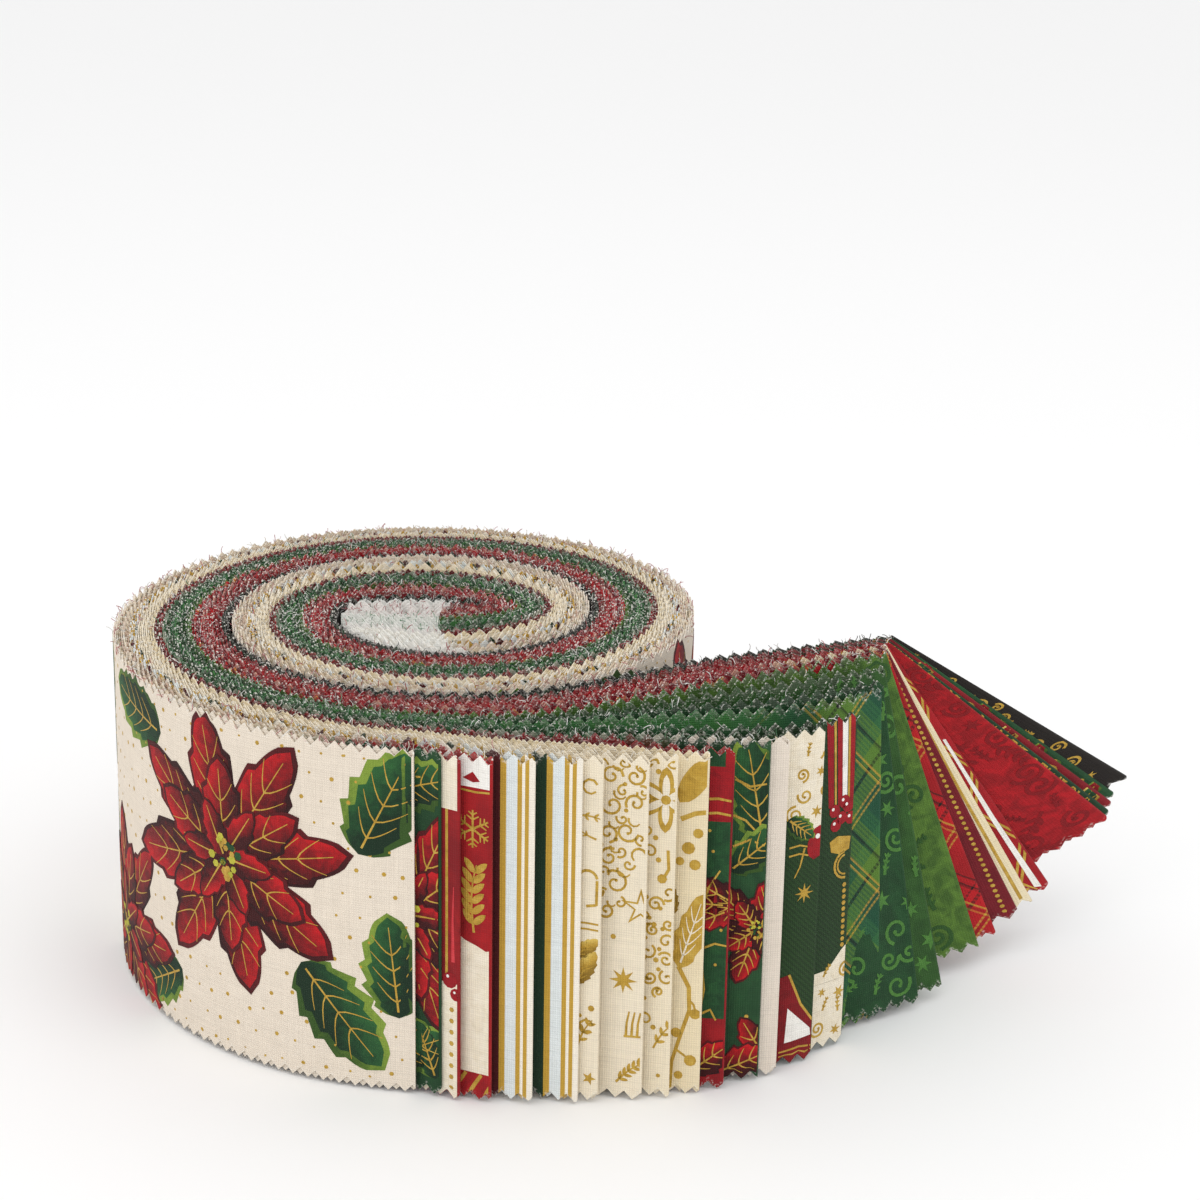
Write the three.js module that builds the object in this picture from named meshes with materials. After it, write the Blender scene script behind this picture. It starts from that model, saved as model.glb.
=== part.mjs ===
import * as THREE from 'three';

// A roll of folded quilting strips standing on its long cut edges, with the
// loose folded ends fanned out to the right. Millimetres, +Z up, and the
// origin on the table under the eye of the roll.

const stripWidth = 63.5; // strips cut 2.5 inches wide
const turnPitch = 20.6; // one turn of the whole stack of strips
const frontRadius = 65.2; // tight spiral at the front, before its first turn
const frontStretch = 1.05; // the roll is a little longer front to back
const looseBulge = 7.2; // how far the outer turn swells before the tail
const looseTurns = 0.34; // turns over which that swelling dies out
const bulgePower = 1.5;
const frontTurn = 0.25; // of a circle, so that the winding starts at the front
const turnGap = 0.5;
const windEndTurn = 2.23;
const degreesPerStep = 8;
const tailGap = 0.75; // from the end of the wound stack to each loose end
const sheetThickness = 1.0;
const foldNoseLength = 0.6;
const foldNoseShare = 0.4; // thickness left at the pressed fold
const toothPitch = 3.0; // pinked edges
const toothDepth = 1.3;
const pinkedLength = 24; // pinked stretch next to each fold
const plainStep = 5.5;
const leanLength = 85; // stretch over which a fanned end tips over
const leanPower = 1.5;
const settlePower = 1.6; // how late a strip moves over to the place of its fold
const lineSamples = 60; // points on the plan line of a loose end
const splineTension = 0.5;
const splineSpans = 3; // spans between the four rows that shape the eye
const fullTurn = 360; // degrees

// Colour groups across the stack, outer side first: share of the thickness
// at which each group ends, and how far its top edge lies below the tallest.
const stackGroups = [
  { endsAt: 0.27, sunk: 0.0 },
  { endsAt: 0.31, sunk: 1.0 },
  { endsAt: 0.65, sunk: 0.3 },
  { endsAt: 0.89, sunk: 0.0 },
  { endsAt: 1.0, sunk: 0.8 },
];

// Inner side of the last turn, which closes round the eye of the roll.
const eyeLine = [
  { turn: 1.25, x: -19.5, y: 0.0 },
  { turn: 1.37, x: -15.8, y: 5.2 },
  { turn: 1.5, x: -7.0, y: 7.2 },
  { turn: 1.63, x: 2.0, y: 7.0 },
  { turn: 1.75, x: 8.4, y: 4.6 },
  { turn: 1.87, x: 2.0, y: 5.8 },
  { turn: 2.0, x: -6.6, y: 6.0 },
  { turn: 2.12, x: -14.6, y: 4.0 },
  { turn: 2.23, x: -18.0, y: 0.8 },
];

// Plan lines of the tail: the front one carries the visible folds, the back
// one leaves the roll and runs to the top corner of the fan.
const frontLine = [
  { x: 0, y: -76.0 },
  { x: 16.2, y: -78.9 },
  { x: 32.4, y: -78.0 },
  { x: 48.6, y: -74.5 },
  { x: 64.8, y: -65.5 },
  { x: 81, y: -49 },
];
const backLine = [
  { x: 0, y: -47.4 },
  { x: 17.2, y: -46.1 },
  { x: 34.4, y: -37.0 },
  { x: 51.6, y: -25.5 },
  { x: 68.8, y: -18.3 },
  { x: 86, y: -11.8 },
];

// Loose ends from the outer strip to the inner one. along is the place of
// the fold on the tail (0 at the roll, 1 at the fan's corner), across is its
// place between the front and back lines, lean is the tilt of the fold from
// upright and leanTo the plan direction in which it tips, in degrees.
const looseEnds = [
  { name: 'end_01_cream_red', colour: 0x7d1f1c, along: 0.116, across: -0.015 },
  { name: 'end_02_red_gold', colour: 0x8a1a1c, along: 0.185, across: 0 },
  { name: 'end_03_striped_red', colour: 0xe6dcc6, along: 0.278, across: 0 },
  { name: 'end_04_striped_green', colour: 0xdcd2b4, along: 0.4, across: 0 },
  { name: 'end_05_cream_scrolls', colour: 0xe8d9b4, along: 0.494, across: 0 },
  { name: 'end_06_cream_star', colour: 0xe6d6b0, along: 0.553, across: 0 },
  { name: 'end_07_cream_leaves', colour: 0xe4d3a6, along: 0.619, across: 0 },
  { name: 'end_08_red_green', colour: 0x6d1a1b, along: 0.672, across: 0 },
  { name: 'end_09_green_red', colour: 0x214028, along: 0.749, across: 0 },
  { name: 'end_10_plain_cream', colour: 0xe9dfd0, along: 0.79, across: 0 },
  { name: 'end_11_green_twill', colour: 0x2b4a2f, along: 0.864, across: 0 },
  { name: 'end_12_ribbon', colour: 0xb9352c, along: 0.931, across: 0 },
  { name: 'end_13_green_plaid', colour: 0x4c7a30, along: 1.0, across: 0.2, lean: 5.5, leanTo: -50 },
  { name: 'end_14_green_tonal', colour: 0x2f6b35, along: 1.0, across: 0.3, lean: 9.1, leanTo: -13 },
  { name: 'end_15_green_scrolls', colour: 0x356f38, along: 1.0, across: 0.53, lean: 13.5, leanTo: -24 },
  { name: 'end_16_light_green', colour: 0x5b8a35, along: 1.0, across: 0.73, lean: 19.5, leanTo: 0 },
  { name: 'end_17_red_plaid', colour: 0xb5121b, along: 1.0, across: 0.775, lean: 23, leanTo: 4 },
  { name: 'end_18_maroon', colour: 0x7a1420, along: 1.0, across: 0.819, lean: 28, leanTo: 8 },
  { name: 'end_19_red_check', colour: 0xb0141e, along: 1.0, across: 0.861, lean: 35, leanTo: 11 },
  { name: 'end_20_red_tonal', colour: 0xa81420, along: 1.0, across: 0.903, lean: 50.5, leanTo: 15 },
  { name: 'end_21_red_leaf', colour: 0x8c1620, along: 1.0, across: 0.945, lean: 53.5, leanTo: 17 },
  { name: 'end_22_black_gold', colour: 0x1f1a17, along: 1.0, across: 0.988, lean: 57.2, leanTo: 18 },
];

const toPoints = (rows) => rows.map((row) => new THREE.Vector2(row.x, row.y));
const frontCurve = new THREE.SplineCurve(toPoints(frontLine));
const backCurve = new THREE.SplineCurve(toPoints(backLine));
const radians = THREE.MathUtils.degToRad;

function spiralPoint(radius, turn) {
  const angle = -2 * Math.PI * (frontTurn + turn);
  return new THREE.Vector2(radius * Math.cos(angle), frontStretch * radius * Math.sin(angle));
}

function outerPoint(turn) {
  const slack = Math.max(0, 1 - turn / looseTurns) ** bulgePower;
  return spiralPoint(frontRadius - turnPitch * turn + looseBulge * slack, turn);
}

// Spline through the eye table by turn number, with the slopes of its rows.
function eyePoint(turn) {
  const row = eyeLine.findIndex((entry, i) => i === eyeLine.length - 2 || turn < eyeLine[i + 1].turn);
  const from = eyeLine[row];
  const to = eyeLine[row + 1];
  const before = eyeLine[Math.max(row - 1, 0)];
  const after = eyeLine[Math.min(row + 2, eyeLine.length - 1)];
  const share = (turn - from.turn) / (to.turn - from.turn);
  const slopes = new THREE.CatmullRomCurve3(
    [before, from, to, after].map((entry) => new THREE.Vector3(entry.x, entry.y, 0)),
    false,
    'catmullrom',
    splineTension,
  );
  const point = slopes.getPoint((1 + share) / splineSpans);
  return new THREE.Vector2(point.x, point.y);
}

function innerPoint(turn) {
  if (turn < eyeLine[0].turn) {
    return spiralPoint(frontRadius - turnPitch * (turn + 1) + turnGap, turn);
  }
  return eyePoint(turn);
}

// Closed skin over rings of equal point counts, capped at both ends.
function sweep(rings, profile) {
  const positions = rings.flat().flatMap((point) => point.toArray());
  const count = profile.length;
  const faces = [];
  for (let ring = 0; ring < rings.length - 1; ring += 1) {
    for (let i = 0; i < count; i += 1) {
      const a = ring * count + i;
      const b = ring * count + ((i + 1) % count);
      faces.push(a, b, a + count, b, b + count, a + count);
    }
  }
  const last = (rings.length - 1) * count;
  for (const [a, b, c] of THREE.ShapeUtils.triangulateShape(profile, [])) {
    faces.push(a, b, c, last + a, last + c, last + b);
  }
  const geometry = new THREE.BufferGeometry();
  geometry.setAttribute('position', new THREE.Float32BufferAttribute(positions, 3));
  geometry.setIndex(faces);
  geometry.computeVertexNormals();
  return geometry;
}

function stackProfile() {
  const profile = [new THREE.Vector2(0, 0)];
  let start = 0;
  for (const group of stackGroups) {
    const top = stripWidth - group.sunk;
    profile.push(new THREE.Vector2(start, top), new THREE.Vector2(group.endsAt, top));
    start = group.endsAt;
  }
  profile.push(new THREE.Vector2(1, 0));
  return profile;
}

function woundRoll() {
  const profile = stackProfile();
  const steps = Math.round((windEndTurn * fullTurn) / degreesPerStep);
  const rings = [];
  for (let step = 0; step <= steps; step += 1) {
    const turn = (step / steps) * windEndTurn;
    const outer = outerPoint(turn);
    const inner = innerPoint(turn);
    rings.push(
      profile.map((point) => {
        const plan = outer.clone().lerp(inner, point.x);
        return new THREE.Vector3(plan.x, plan.y, point.y);
      }),
    );
  }
  return sweep(rings, profile);
}

// Plan line of one loose end, from the wound stack to its fold.
function looseLine(end, index) {
  const startAcross = (index + 0.5) / looseEnds.length;
  const startAlong = tailGap / frontLine.at(-1).x;
  const points = [];
  for (let i = 0; i <= lineSamples; i += 1) {
    const along = THREE.MathUtils.lerp(startAlong, end.along, i / lineSamples);
    const settle = (along / end.along) ** settlePower;
    const across = THREE.MathUtils.lerp(startAcross, end.across, settle);
    const plan = frontCurve.getPoint(along).lerp(backCurve.getPoint(along), across);
    points.push(new THREE.Vector3(plan.x, plan.y, 0));
  }
  return new THREE.CatmullRomCurve3(points);
}

// Distances from the fold at which the sheet has a section: one each half
// tooth along the pinked stretch, then wider steps back to the roll.
function sectionPlaces(length) {
  const places = [0, foldNoseLength];
  const pinkedTo = Math.min(pinkedLength, length - foldNoseLength);
  const half = toothPitch / 2;
  for (let place = half; place < pinkedTo; place += half) {
    places.push(place);
  }
  const from = places.at(-1);
  const plainSteps = Math.max(1, Math.round((length - from) / plainStep));
  for (let step = 1; step <= plainSteps; step += 1) {
    places.push(from + ((length - from) * step) / plainSteps);
  }
  return places;
}

function toothNotch(place) {
  const inTooth = (place / toothPitch) % 1;
  const rise = Math.abs(2 * inTooth - 1);
  return place > pinkedLength ? toothDepth / 2 : toothDepth * (1 - rise);
}

function looseSheet(end, index) {
  const line = looseLine(end, index);
  const length = line.getLength();
  const places = sectionPlaces(length);
  const tipTo = radians(end.leanTo ?? 0);
  const rings = places.map((place) => {
    const share = Math.max(0, 1 - place / length);
    const head = line.getPointAt(share);
    const along = line.getTangentAt(share);
    const ease = Math.max(0, 1 - place / leanLength) ** leanPower;
    const lean = radians((end.lean ?? 0) * ease);
    const down = new THREE.Vector3(
      Math.sin(lean) * Math.cos(tipTo),
      Math.sin(lean) * Math.sin(tipTo),
      -Math.cos(lean),
    );
    const thickness = place === 0 ? sheetThickness * foldNoseShare : sheetThickness;
    const side = new THREE.Vector3(-along.y, along.x, 0).multiplyScalar(thickness / 2);
    const notch = toothNotch(place);
    const top = head.clone().setZ(stripWidth).addScaledVector(down, notch);
    const bottom = head.clone().setZ(stripWidth).addScaledVector(down, stripWidth - notch);
    return [
      top.clone().sub(side),
      top.clone().add(side),
      bottom.clone().add(side),
      bottom.clone().sub(side),
    ];
  });
  const square = [
    new THREE.Vector2(0, 1),
    new THREE.Vector2(1, 1),
    new THREE.Vector2(1, 0),
    new THREE.Vector2(0, 0),
  ];
  return sweep(rings, square);
}

function clothMesh(name, geometry, colour) {
  const material = new THREE.MeshStandardMaterial({ color: colour, roughness: 0.9, metalness: 0 });
  const mesh = new THREE.Mesh(geometry, material);
  mesh.name = name;
  return mesh;
}

const jellyRoll = new THREE.Group();
jellyRoll.add(clothMesh('wound_roll', woundRoll(), 0xb9a58c));
looseEnds.forEach((end, index) => {
  jellyRoll.add(clothMesh(end.name, looseSheet(end, index), end.colour));
});

export default jellyRoll;
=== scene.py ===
import math
import random
import bmesh
import bpy
import numpy as np
from mathutils import Matrix, Vector
from mathutils.geometry import delaunay_2d_cdt


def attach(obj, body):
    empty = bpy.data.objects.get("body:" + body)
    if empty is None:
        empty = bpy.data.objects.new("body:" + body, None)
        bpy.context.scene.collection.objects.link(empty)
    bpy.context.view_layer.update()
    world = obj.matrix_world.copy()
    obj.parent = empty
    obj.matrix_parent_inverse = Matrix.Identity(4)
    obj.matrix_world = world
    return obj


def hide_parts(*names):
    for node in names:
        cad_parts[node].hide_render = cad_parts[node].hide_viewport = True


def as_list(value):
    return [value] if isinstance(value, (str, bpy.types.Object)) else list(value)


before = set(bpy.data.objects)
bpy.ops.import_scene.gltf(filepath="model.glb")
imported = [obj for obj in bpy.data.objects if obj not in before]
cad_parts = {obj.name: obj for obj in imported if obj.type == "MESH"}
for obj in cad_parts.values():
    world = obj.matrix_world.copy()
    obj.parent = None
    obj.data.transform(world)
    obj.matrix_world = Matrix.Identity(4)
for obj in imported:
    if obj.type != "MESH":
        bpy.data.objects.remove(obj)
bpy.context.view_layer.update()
scene = bpy.context.scene
mm = 0.001
fullTurn = 6.28             # radians, for the dice

# Camera at the height and turn of the photograph, places in mm
cameraShape = {
    "place": (31.33, -467.97, 216.78),
    "right": (0.99983, 0.00563, 0.01755),
    "up": (-0.01843, 0.30548, 0.95202),
    "forward": (0.0, 0.95218, -0.30553),
    "lens": 75.665,
    "sensor": 36,
    "clip": (0.01, 20),     # m
}


def linkObject(name, data):
    made = bpy.data.objects.new(name, data)
    scene.collection.objects.link(made)
    return made


cameraData = bpy.data.cameras.new("rollCamera")
cameraData.lens = cameraShape["lens"]
cameraData.sensor_width = cameraShape["sensor"]
cameraData.clip_start, cameraData.clip_end = cameraShape["clip"]
rollCamera = linkObject("rollCamera", cameraData)
turned = Matrix((cameraShape["right"], cameraShape["up"], [-v for v in cameraShape["forward"]])).transposed()
rollCamera.matrix_world = Matrix.Translation(Vector(cameraShape["place"]) * mm) @ turned.to_4x4()
scene.camera = rollCamera

# The roll: a stack of folded strips wound from the tail into the eye, sizes in mm
rollShape = {
    "stripWidth": 63.5,
    "cutLength": 1100.0,
    "turnPitch": 20.6,
    "frontRadius": 65.2,
    "frontStretch": 1.05,
    "looseBulge": 7.2,
    "looseTurns": 0.34,
    "bulgePower": 1.5,
    "turnGap": 0.5,
    "coreTurn": 2.08,       # past this the strips run straight to their cut ends
    "coreWall": 0.9,        # room between the cut ends and the next turn
    "wallTurns": (1.06, 1.37),      # where the inner side of the roll is that next turn
    "wallFrom": 0.8,        # share of a strip's length before it may meet the wall
    "leastEnd": 0.5,        # shorter straight ends are left out
    "spread": (0.88, 1.12),         # how much one strip's share of the stack may differ
    "clothThickness": 0.26,
    "toothPitch": 3.0,
    "toothDepth": 1.5,
    "sharpAngle": 40,
    "foldHalf": 0.3,        # half the room between the two layers at the fold
    "leanLength": 85.0,
    "leanPower": 1.5,
    "settlePower": 1.6,
    "clothWidth": 64.0,
    "rise": 0.42,           # mean height of the lower edge, which waves a little
    "flare": 0.4,           # degrees by which the outer turn opens towards the table
    "flareRadius": (45.0, 68.0),
    "flareEase": 25.0,
    "seed": 28,
}
eyeLine = [  # turn, x and y along the inner side of the last turn
    (1.25, -19.5, 0.0), (1.37, -15.8, 5.2), (1.5, -7.0, 7.2), (1.63, 2.0, 7.0), (1.75, 8.4, 4.6),
    (1.87, 2.0, 5.8), (2.0, -6.6, 6.0), (2.12, -14.6, 4.0), (2.23, -18.0, 0.8),
]
frontLine = [(0, -76.0), (16.2, -78.9), (32.4, -78.0), (48.6, -74.5), (64.8, -65.5), (81, -49)]
backLine = [(0, -47.4), (17.2, -46.1), (34.4, -37.0), (51.6, -25.5), (68.8, -18.3), (86, -11.8)]

# One row a strip, outer side first: piece, the node it stands for, its slot, place of the fold
# along and across the tail, lean of the fold, where it leans to, how far its layers part
stripRows = [
    ("stripFlowers", "wound_roll", "cotton_cream", 0.016, 0.0, 0, 0, 0.0),
    ("stripGreenFlowers", "", "cotton_green", 0.080, 0.0, 0, 0, 0.0),
    ("stripCreamRedFold", "end_01_cream_red", "cotton_red", 0.116, -0.01, 0, 0, 0.0),
    ("stripRedSnow", "end_02_red_gold", "cotton_red", 0.174, 0.0, 0, 0, 0.1),
    ("stripStripes", "end_03_striped_red", "cotton_stripe", 0.260, 0.0, 0, 0, 0.1),
    ("stripStripesTwin", "end_04_striped_green", "cotton_stripe", 0.357, 0.0, 0, 0, 0.1),
    ("stripCreamSparse", "", "cotton_cream", 0.400, 0.0, 0, 0, 0.1),
    ("stripCreamScrolls", "end_05_cream_scrolls", "cotton_cream", 0.494, 0.0, 0, 0, 0.2),
    ("stripCreamStar", "end_06_cream_star", "cotton_cream", 0.553, 0.0, 0, 0, 0.2),
    ("stripCreamLeaves", "end_07_cream_leaves", "cotton_cream", 0.619, 0.0, 0, 0, 0.2),
    ("stripRedGreen", "end_08_red_green", "cotton_red", 0.672, 0.0, 0, 0, 0.2),
    ("stripGreenRed", "end_09_green_red", "cotton_green", 0.749, 0.0, 0, 0, 0.3),
    ("stripPlainCream", "end_10_plain_cream", "cotton_cream", 0.790, -0.01, 0, 0, 0.5),
    ("stripGreenTwill", "end_11_green_twill", "cotton_green", 0.864, 0.0, 0, 0, 0.3),
    ("stripRibbon", "end_12_ribbon", "cotton_red", 0.931, 0.0, 0, 0, 0.4),
    ("stripGreenPlaid", "end_13_green_plaid", "cotton_green", 1.0, 0.2, 3.3, -50, 0.6),
    ("stripGreenTonal", "end_14_green_tonal", "cotton_green", 1.0, 0.3, 9.1, -13, 1.3),
    ("stripGreenScrolls", "end_15_green_scrolls", "cotton_green", 1.0, 0.53, 13.5, -24, 1.6),
    ("stripLightGreen", "end_16_light_green", "cotton_green", 1.0, 0.73, 19.5, 0, 0.9),
    ("stripRedPlaid", "end_17_red_plaid", "cotton_red", 1.0, 0.775, 23, 4, 0.2),
    ("stripMaroon", "end_18_maroon", "cotton_red", 1.0, 0.813, 28, 8, 0.1),
    ("stripCreamSliver", "", "cotton_cream", 1.0, 0.838, 31, 10, 0.0),
    ("stripRedCheck", "end_19_red_check", "cotton_red", 1.0, 0.866, 35, 11, 0.1),
    ("stripRedTonal", "end_20_red_tonal", "cotton_red", 1.005, 0.903, 50.5, 15, 0.1),
    ("stripGreenSliver", "", "cotton_green", 1.005, 0.926, 51.3, 16, 0.0),
    ("stripRedLeaf", "end_21_red_leaf", "cotton_red", 1.01, 0.948, 52.4, 17, 0.0),
    ("stripGreenBack", "", "cotton_green", 1.012, 0.970, 53.8, 18, 0.0),
    ("stripBlackGold", "end_22_black_gold", "cotton_black", 1.03, 0.992, 57.2, 18, 0.1),
]
widthDice = random.Random(rollShape["seed"])
stackShares = np.array([widthDice.uniform(*rollShape["spread"]) for row in stripRows])
stackShares /= stackShares.sum()
stackMiddles = np.cumsum(stackShares) - stackShares / 2


def spiralPoint(radius, turn):
    angle = -2 * math.pi * (0.25 + turn)
    return np.array((radius * math.cos(angle), rollShape["frontStretch"] * radius * math.sin(angle)))


def splineAt(points, place):
    # even Catmull-Rom spline, place counted in spans of the points
    i = min(int(place), len(points) - 2)
    t = place - i
    p = [np.array(points[min(max(j, 0), len(points) - 1)], float) for j in (i - 1, i, i + 1, i + 2)]
    v0, v1 = (p[2] - p[0]) / 2, (p[3] - p[1]) / 2
    return ((2 * p[1] - 2 * p[2] + v0 + v1) * t ** 3
            + (3 * p[2] - 3 * p[1] - 2 * v0 - v1) * t ** 2 + v0 * t + p[1])


def outerPoint(turn):
    slack = max(0.0, 1 - turn / rollShape["looseTurns"]) ** rollShape["bulgePower"]
    radius = rollShape["frontRadius"] - rollShape["turnPitch"] * turn + rollShape["looseBulge"] * slack
    return spiralPoint(radius, turn)


def innerPoint(turn):
    if turn < eyeLine[0][0]:
        radius = rollShape["frontRadius"] - rollShape["turnPitch"] * (turn + 1) + rollShape["turnGap"]
        return spiralPoint(radius, turn)
    row = 0
    while row < len(eyeLine) - 2 and turn >= eyeLine[row + 1][0]:
        row += 1
    share = (turn - eyeLine[row][0]) / (eyeLine[row + 1][0] - eyeLine[row][0])
    return splineAt([entry[1:] for entry in eyeLine], row + share)


def smoothStep(x):
    x = np.clip(x, 0.0, 1.0)
    return x * x * (3 - 2 * x)


lineSamples = {"wound": 1300, "tail": 253, "wall": 60, "strip": 240}
tailReach = 1.05            # the tail's lines go a little past the last fold
windTurns = np.linspace(0, rollShape["coreTurn"], lineSamples["wound"])
windOuter = np.array([outerPoint(turn) for turn in windTurns])
windInner = np.array([innerPoint(turn) for turn in windTurns])
tailPlaces = np.linspace(0, tailReach, lineSamples["tail"])
tailFront = np.array([splineAt(frontLine, place * (len(frontLine) - 1)) for place in tailPlaces])
tailBack = np.array([splineAt(backLine, place * (len(backLine) - 1)) for place in tailPlaces])
eyeWall = np.array([innerPoint(turn) for turn in np.linspace(*rollShape["wallTurns"], lineSamples["wall"])])


def bothWays(table, places, values):
    return np.stack([np.interp(values, places, table[:, i]) for i in range(table.shape[1])], axis=1)


def wallAt(y):
    return np.interp(y, eyeWall[:, 1], eyeWall[:, 0]) + rollShape["coreWall"]


def woundLine(across):
    # one layer from the tail into the eye, then straight to its cut end
    line = windOuter + (windInner - windOuter) * across
    wall = wallAt(line[:, 1])
    late = np.arange(len(line)) > len(line) * rollShape["wallFrom"]
    touching = np.nonzero(late & (line[:, 0] < wall) & (line[:, 0] < 0))[0]
    if len(touching):
        line = line[:touching[0]]
    end = line[-1]
    room = end[0] - wallAt(end[1])
    if room > rollShape["leastEnd"]:
        steps = np.linspace(0, room, max(3, int(room)))[1:]
        line = np.concatenate([line, np.stack([end[0] - steps, np.full(len(steps), end[1])], axis=1)])
    return line


foldShape = {  # how a strip leaves the roll and turns round its fold, in mm
    "rollEase": 10.0,
    "closeOver": 50.0,      # the two layers come together over this length before the fold
    "puff": (14.0, 18.0, 45.0),     # they part over the first, stay so to the second, close over the third
    "noseSteps": 13,
    "fineReach": 0.62,      # finer samples this near the fold
    "fineSteps": 9,
    "fineGap": 0.3,
    "leastStep": 0.05,
    "slopeStep": 0.06,
    "waves": ((31, 0.4), (73, 0.35), (11, 0.2)),    # length and share of the rise
}


def stripPath(index):
    # samples of the cloth's middle line, cut end to fold to cut end, with what the ribbon needs
    name, node, slotName, foldAt, foldAcross, lean, leanTo, puff = stripRows[index]
    dice = random.Random(rollShape["seed"] * 100 + index)
    share, middle = stackShares[index], stackMiddles[index]
    places = np.linspace(0, foldAt, max(8, int(foldAt * lineSamples["strip"])))
    across = middle + (foldAcross - middle) * (places / foldAt) ** rollShape["settlePower"]
    front, back = bothWays(tailFront, tailPlaces, places), bothWays(tailBack, tailPlaces, places)
    line = front + (back - front) * across[:, None]
    forward = np.gradient(line, axis=0)
    forward /= np.linalg.norm(forward, axis=1)[:, None]
    run = np.concatenate([[0], np.cumsum(np.linalg.norm(np.diff(line, axis=0), axis=1))])
    toFold = run[-1] - run
    inward = np.stack([-forward[:, 1], forward[:, 0]], axis=1)
    atRoll = smoothStep(1 - run / foldShape["rollEase"])[:, None]
    inward = inward * (1 - atRoll) + np.array((0.0, 1.0)) * atRoll
    inward /= np.linalg.norm(inward, axis=1)[:, None]
    rollHalf = share / 4 * np.linalg.norm(windInner[0] - windOuter[0])
    closing = smoothStep(toFold / foldShape["closeOver"])
    half = rollShape["foldHalf"] + (rollHalf - rollShape["foldHalf"]) * closing
    partOver, partTo, shutOver = foldShape["puff"]
    half = half + puff * smoothStep(toFold / partOver) * (1 - smoothStep((toFold - partTo) / shutOver))
    noseAngles = np.linspace(-math.pi / 2, math.pi / 2, foldShape["noseSteps"])[1:-1]
    tip, tipForward, tipInward = line[-1], forward[-1], inward[-1]
    noseCentre = tip - tipForward * rollShape["foldHalf"]
    nose = [noseCentre + rollShape["foldHalf"] * (math.cos(a) * tipForward + math.sin(a) * tipInward)
            for a in noseAngles]
    flatPart = toFold > rollShape["foldHalf"]
    outerLayer = np.concatenate([
        woundLine(middle - share / 4)[1:][::-1], (line - inward * half[:, None])[flatPart]])
    innerLayer = np.concatenate([
        woundLine(middle + share / 4)[1:][::-1], (line + inward * half[:, None])[flatPart]])
    fine = np.concatenate([outerLayer, nose, innerLayer[::-1]])
    run = np.concatenate([[0], np.cumsum(np.linalg.norm(np.diff(fine, axis=0), axis=1))])
    foldRun = run[len(outerLayer) + len(nose) // 2]
    run -= foldRun
    # a sample at each tooth tip and root, and a few more round the fold
    step = rollShape["toothPitch"] / 2
    phase = dice.uniform(0, rollShape["toothPitch"])
    first = math.ceil((run[0] + phase) / step)
    along = np.arange(first, math.floor((run[-1] + phase) / step) + 1) * step - phase
    reach, slope = foldShape["fineReach"], foldShape["slopeStep"]
    along = along[np.abs(along) > reach + foldShape["fineGap"]]
    fineSamples = np.linspace(-reach, reach, foldShape["fineSteps"])
    along = np.sort(np.concatenate([along, fineSamples, [run[0], run[-1]]]))
    along = along[np.concatenate([[True], np.diff(along) > foldShape["leastStep"]])]
    plan = bothWays(fine, run, along)
    tangent = bothWays(fine, run, along + slope) - bothWays(fine, run, along - slope)
    tangent /= np.linalg.norm(tangent, axis=1)[:, None]
    ease = np.maximum(0, 1 - np.abs(along) / rollShape["leanLength"]) ** rollShape["leanPower"]
    tipped, toward = np.radians(lean * ease), math.radians(leanTo)
    down = np.stack([np.sin(tipped) * math.cos(toward), np.sin(tipped) * math.sin(toward),
                     -np.cos(tipped)], axis=1)
    radius = np.linalg.norm(plan, axis=1)
    inside, outside = rollShape["flareRadius"]
    flare = smoothStep((radius - inside) / (outside - inside))
    flare = flare * smoothStep(-plan[:, 0] / rollShape["flareEase"])
    down[:, :2] += plan / radius[:, None] * (flare * math.radians(rollShape["flare"]))[:, None]
    tangent = np.concatenate([tangent, np.zeros((len(tangent), 1))], axis=1)
    side = np.cross(down, tangent)
    side /= np.linalg.norm(side, axis=1)[:, None]
    # each strip stands a little lower or higher than its neighbours
    rise = 1.0
    for length, swing in foldShape["waves"]:
        rise = rise + swing * np.sin(along / length + dice.uniform(0, fullTurn))
    top = rollShape["clothWidth"] + rollShape["rise"] * rise
    spine = np.concatenate([plan, top[:, None]], axis=1)
    return {"along": along, "toothAt": along + phase, "spine": spine, "side": side, "down": down,
            "fromEnd": np.minimum(along - run[0], run[-1] - along), "phase": phase}


stripPaths = [stripPath(index) for index in range(len(stripRows))]
print("paths of", len(stripPaths), "strips, lengths in mm",
      [round(path["along"][-1] - path["along"][0]) for path in stripPaths])


# Geometry Nodes: a pinked ribbon along a path that carries its own directions
def addNode(tree, kind, values=None, links=None, **settings):
    node = tree.nodes.new(kind)
    for key, value in settings.items():
        setattr(node, key, value)
    for key, value in (values or {}).items():
        node.inputs[key].default_value = value
    for key, source in (links or {}).items():
        tree.links.new(source, node.inputs[key])
    return node


def addMath(tree, operation, first, second=None, third=None):
    node = tree.nodes.new("ShaderNodeMath")
    node.operation = operation
    for i, value in enumerate((first, second, third)):
        if value is None:
            continue
        if isinstance(value, (int, float)):
            node.inputs[i].default_value = value
        else:
            tree.links.new(value, node.inputs[i])
    return node.outputs[0]


def addVector(tree, operation, first, second=None, scale=None):
    links = {0: first, 1: second, "Scale": scale}
    return addNode(tree, "ShaderNodeVectorMath", operation=operation,
                   links={key: link for key, link in links.items() if link is not None}).outputs[0]


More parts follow.
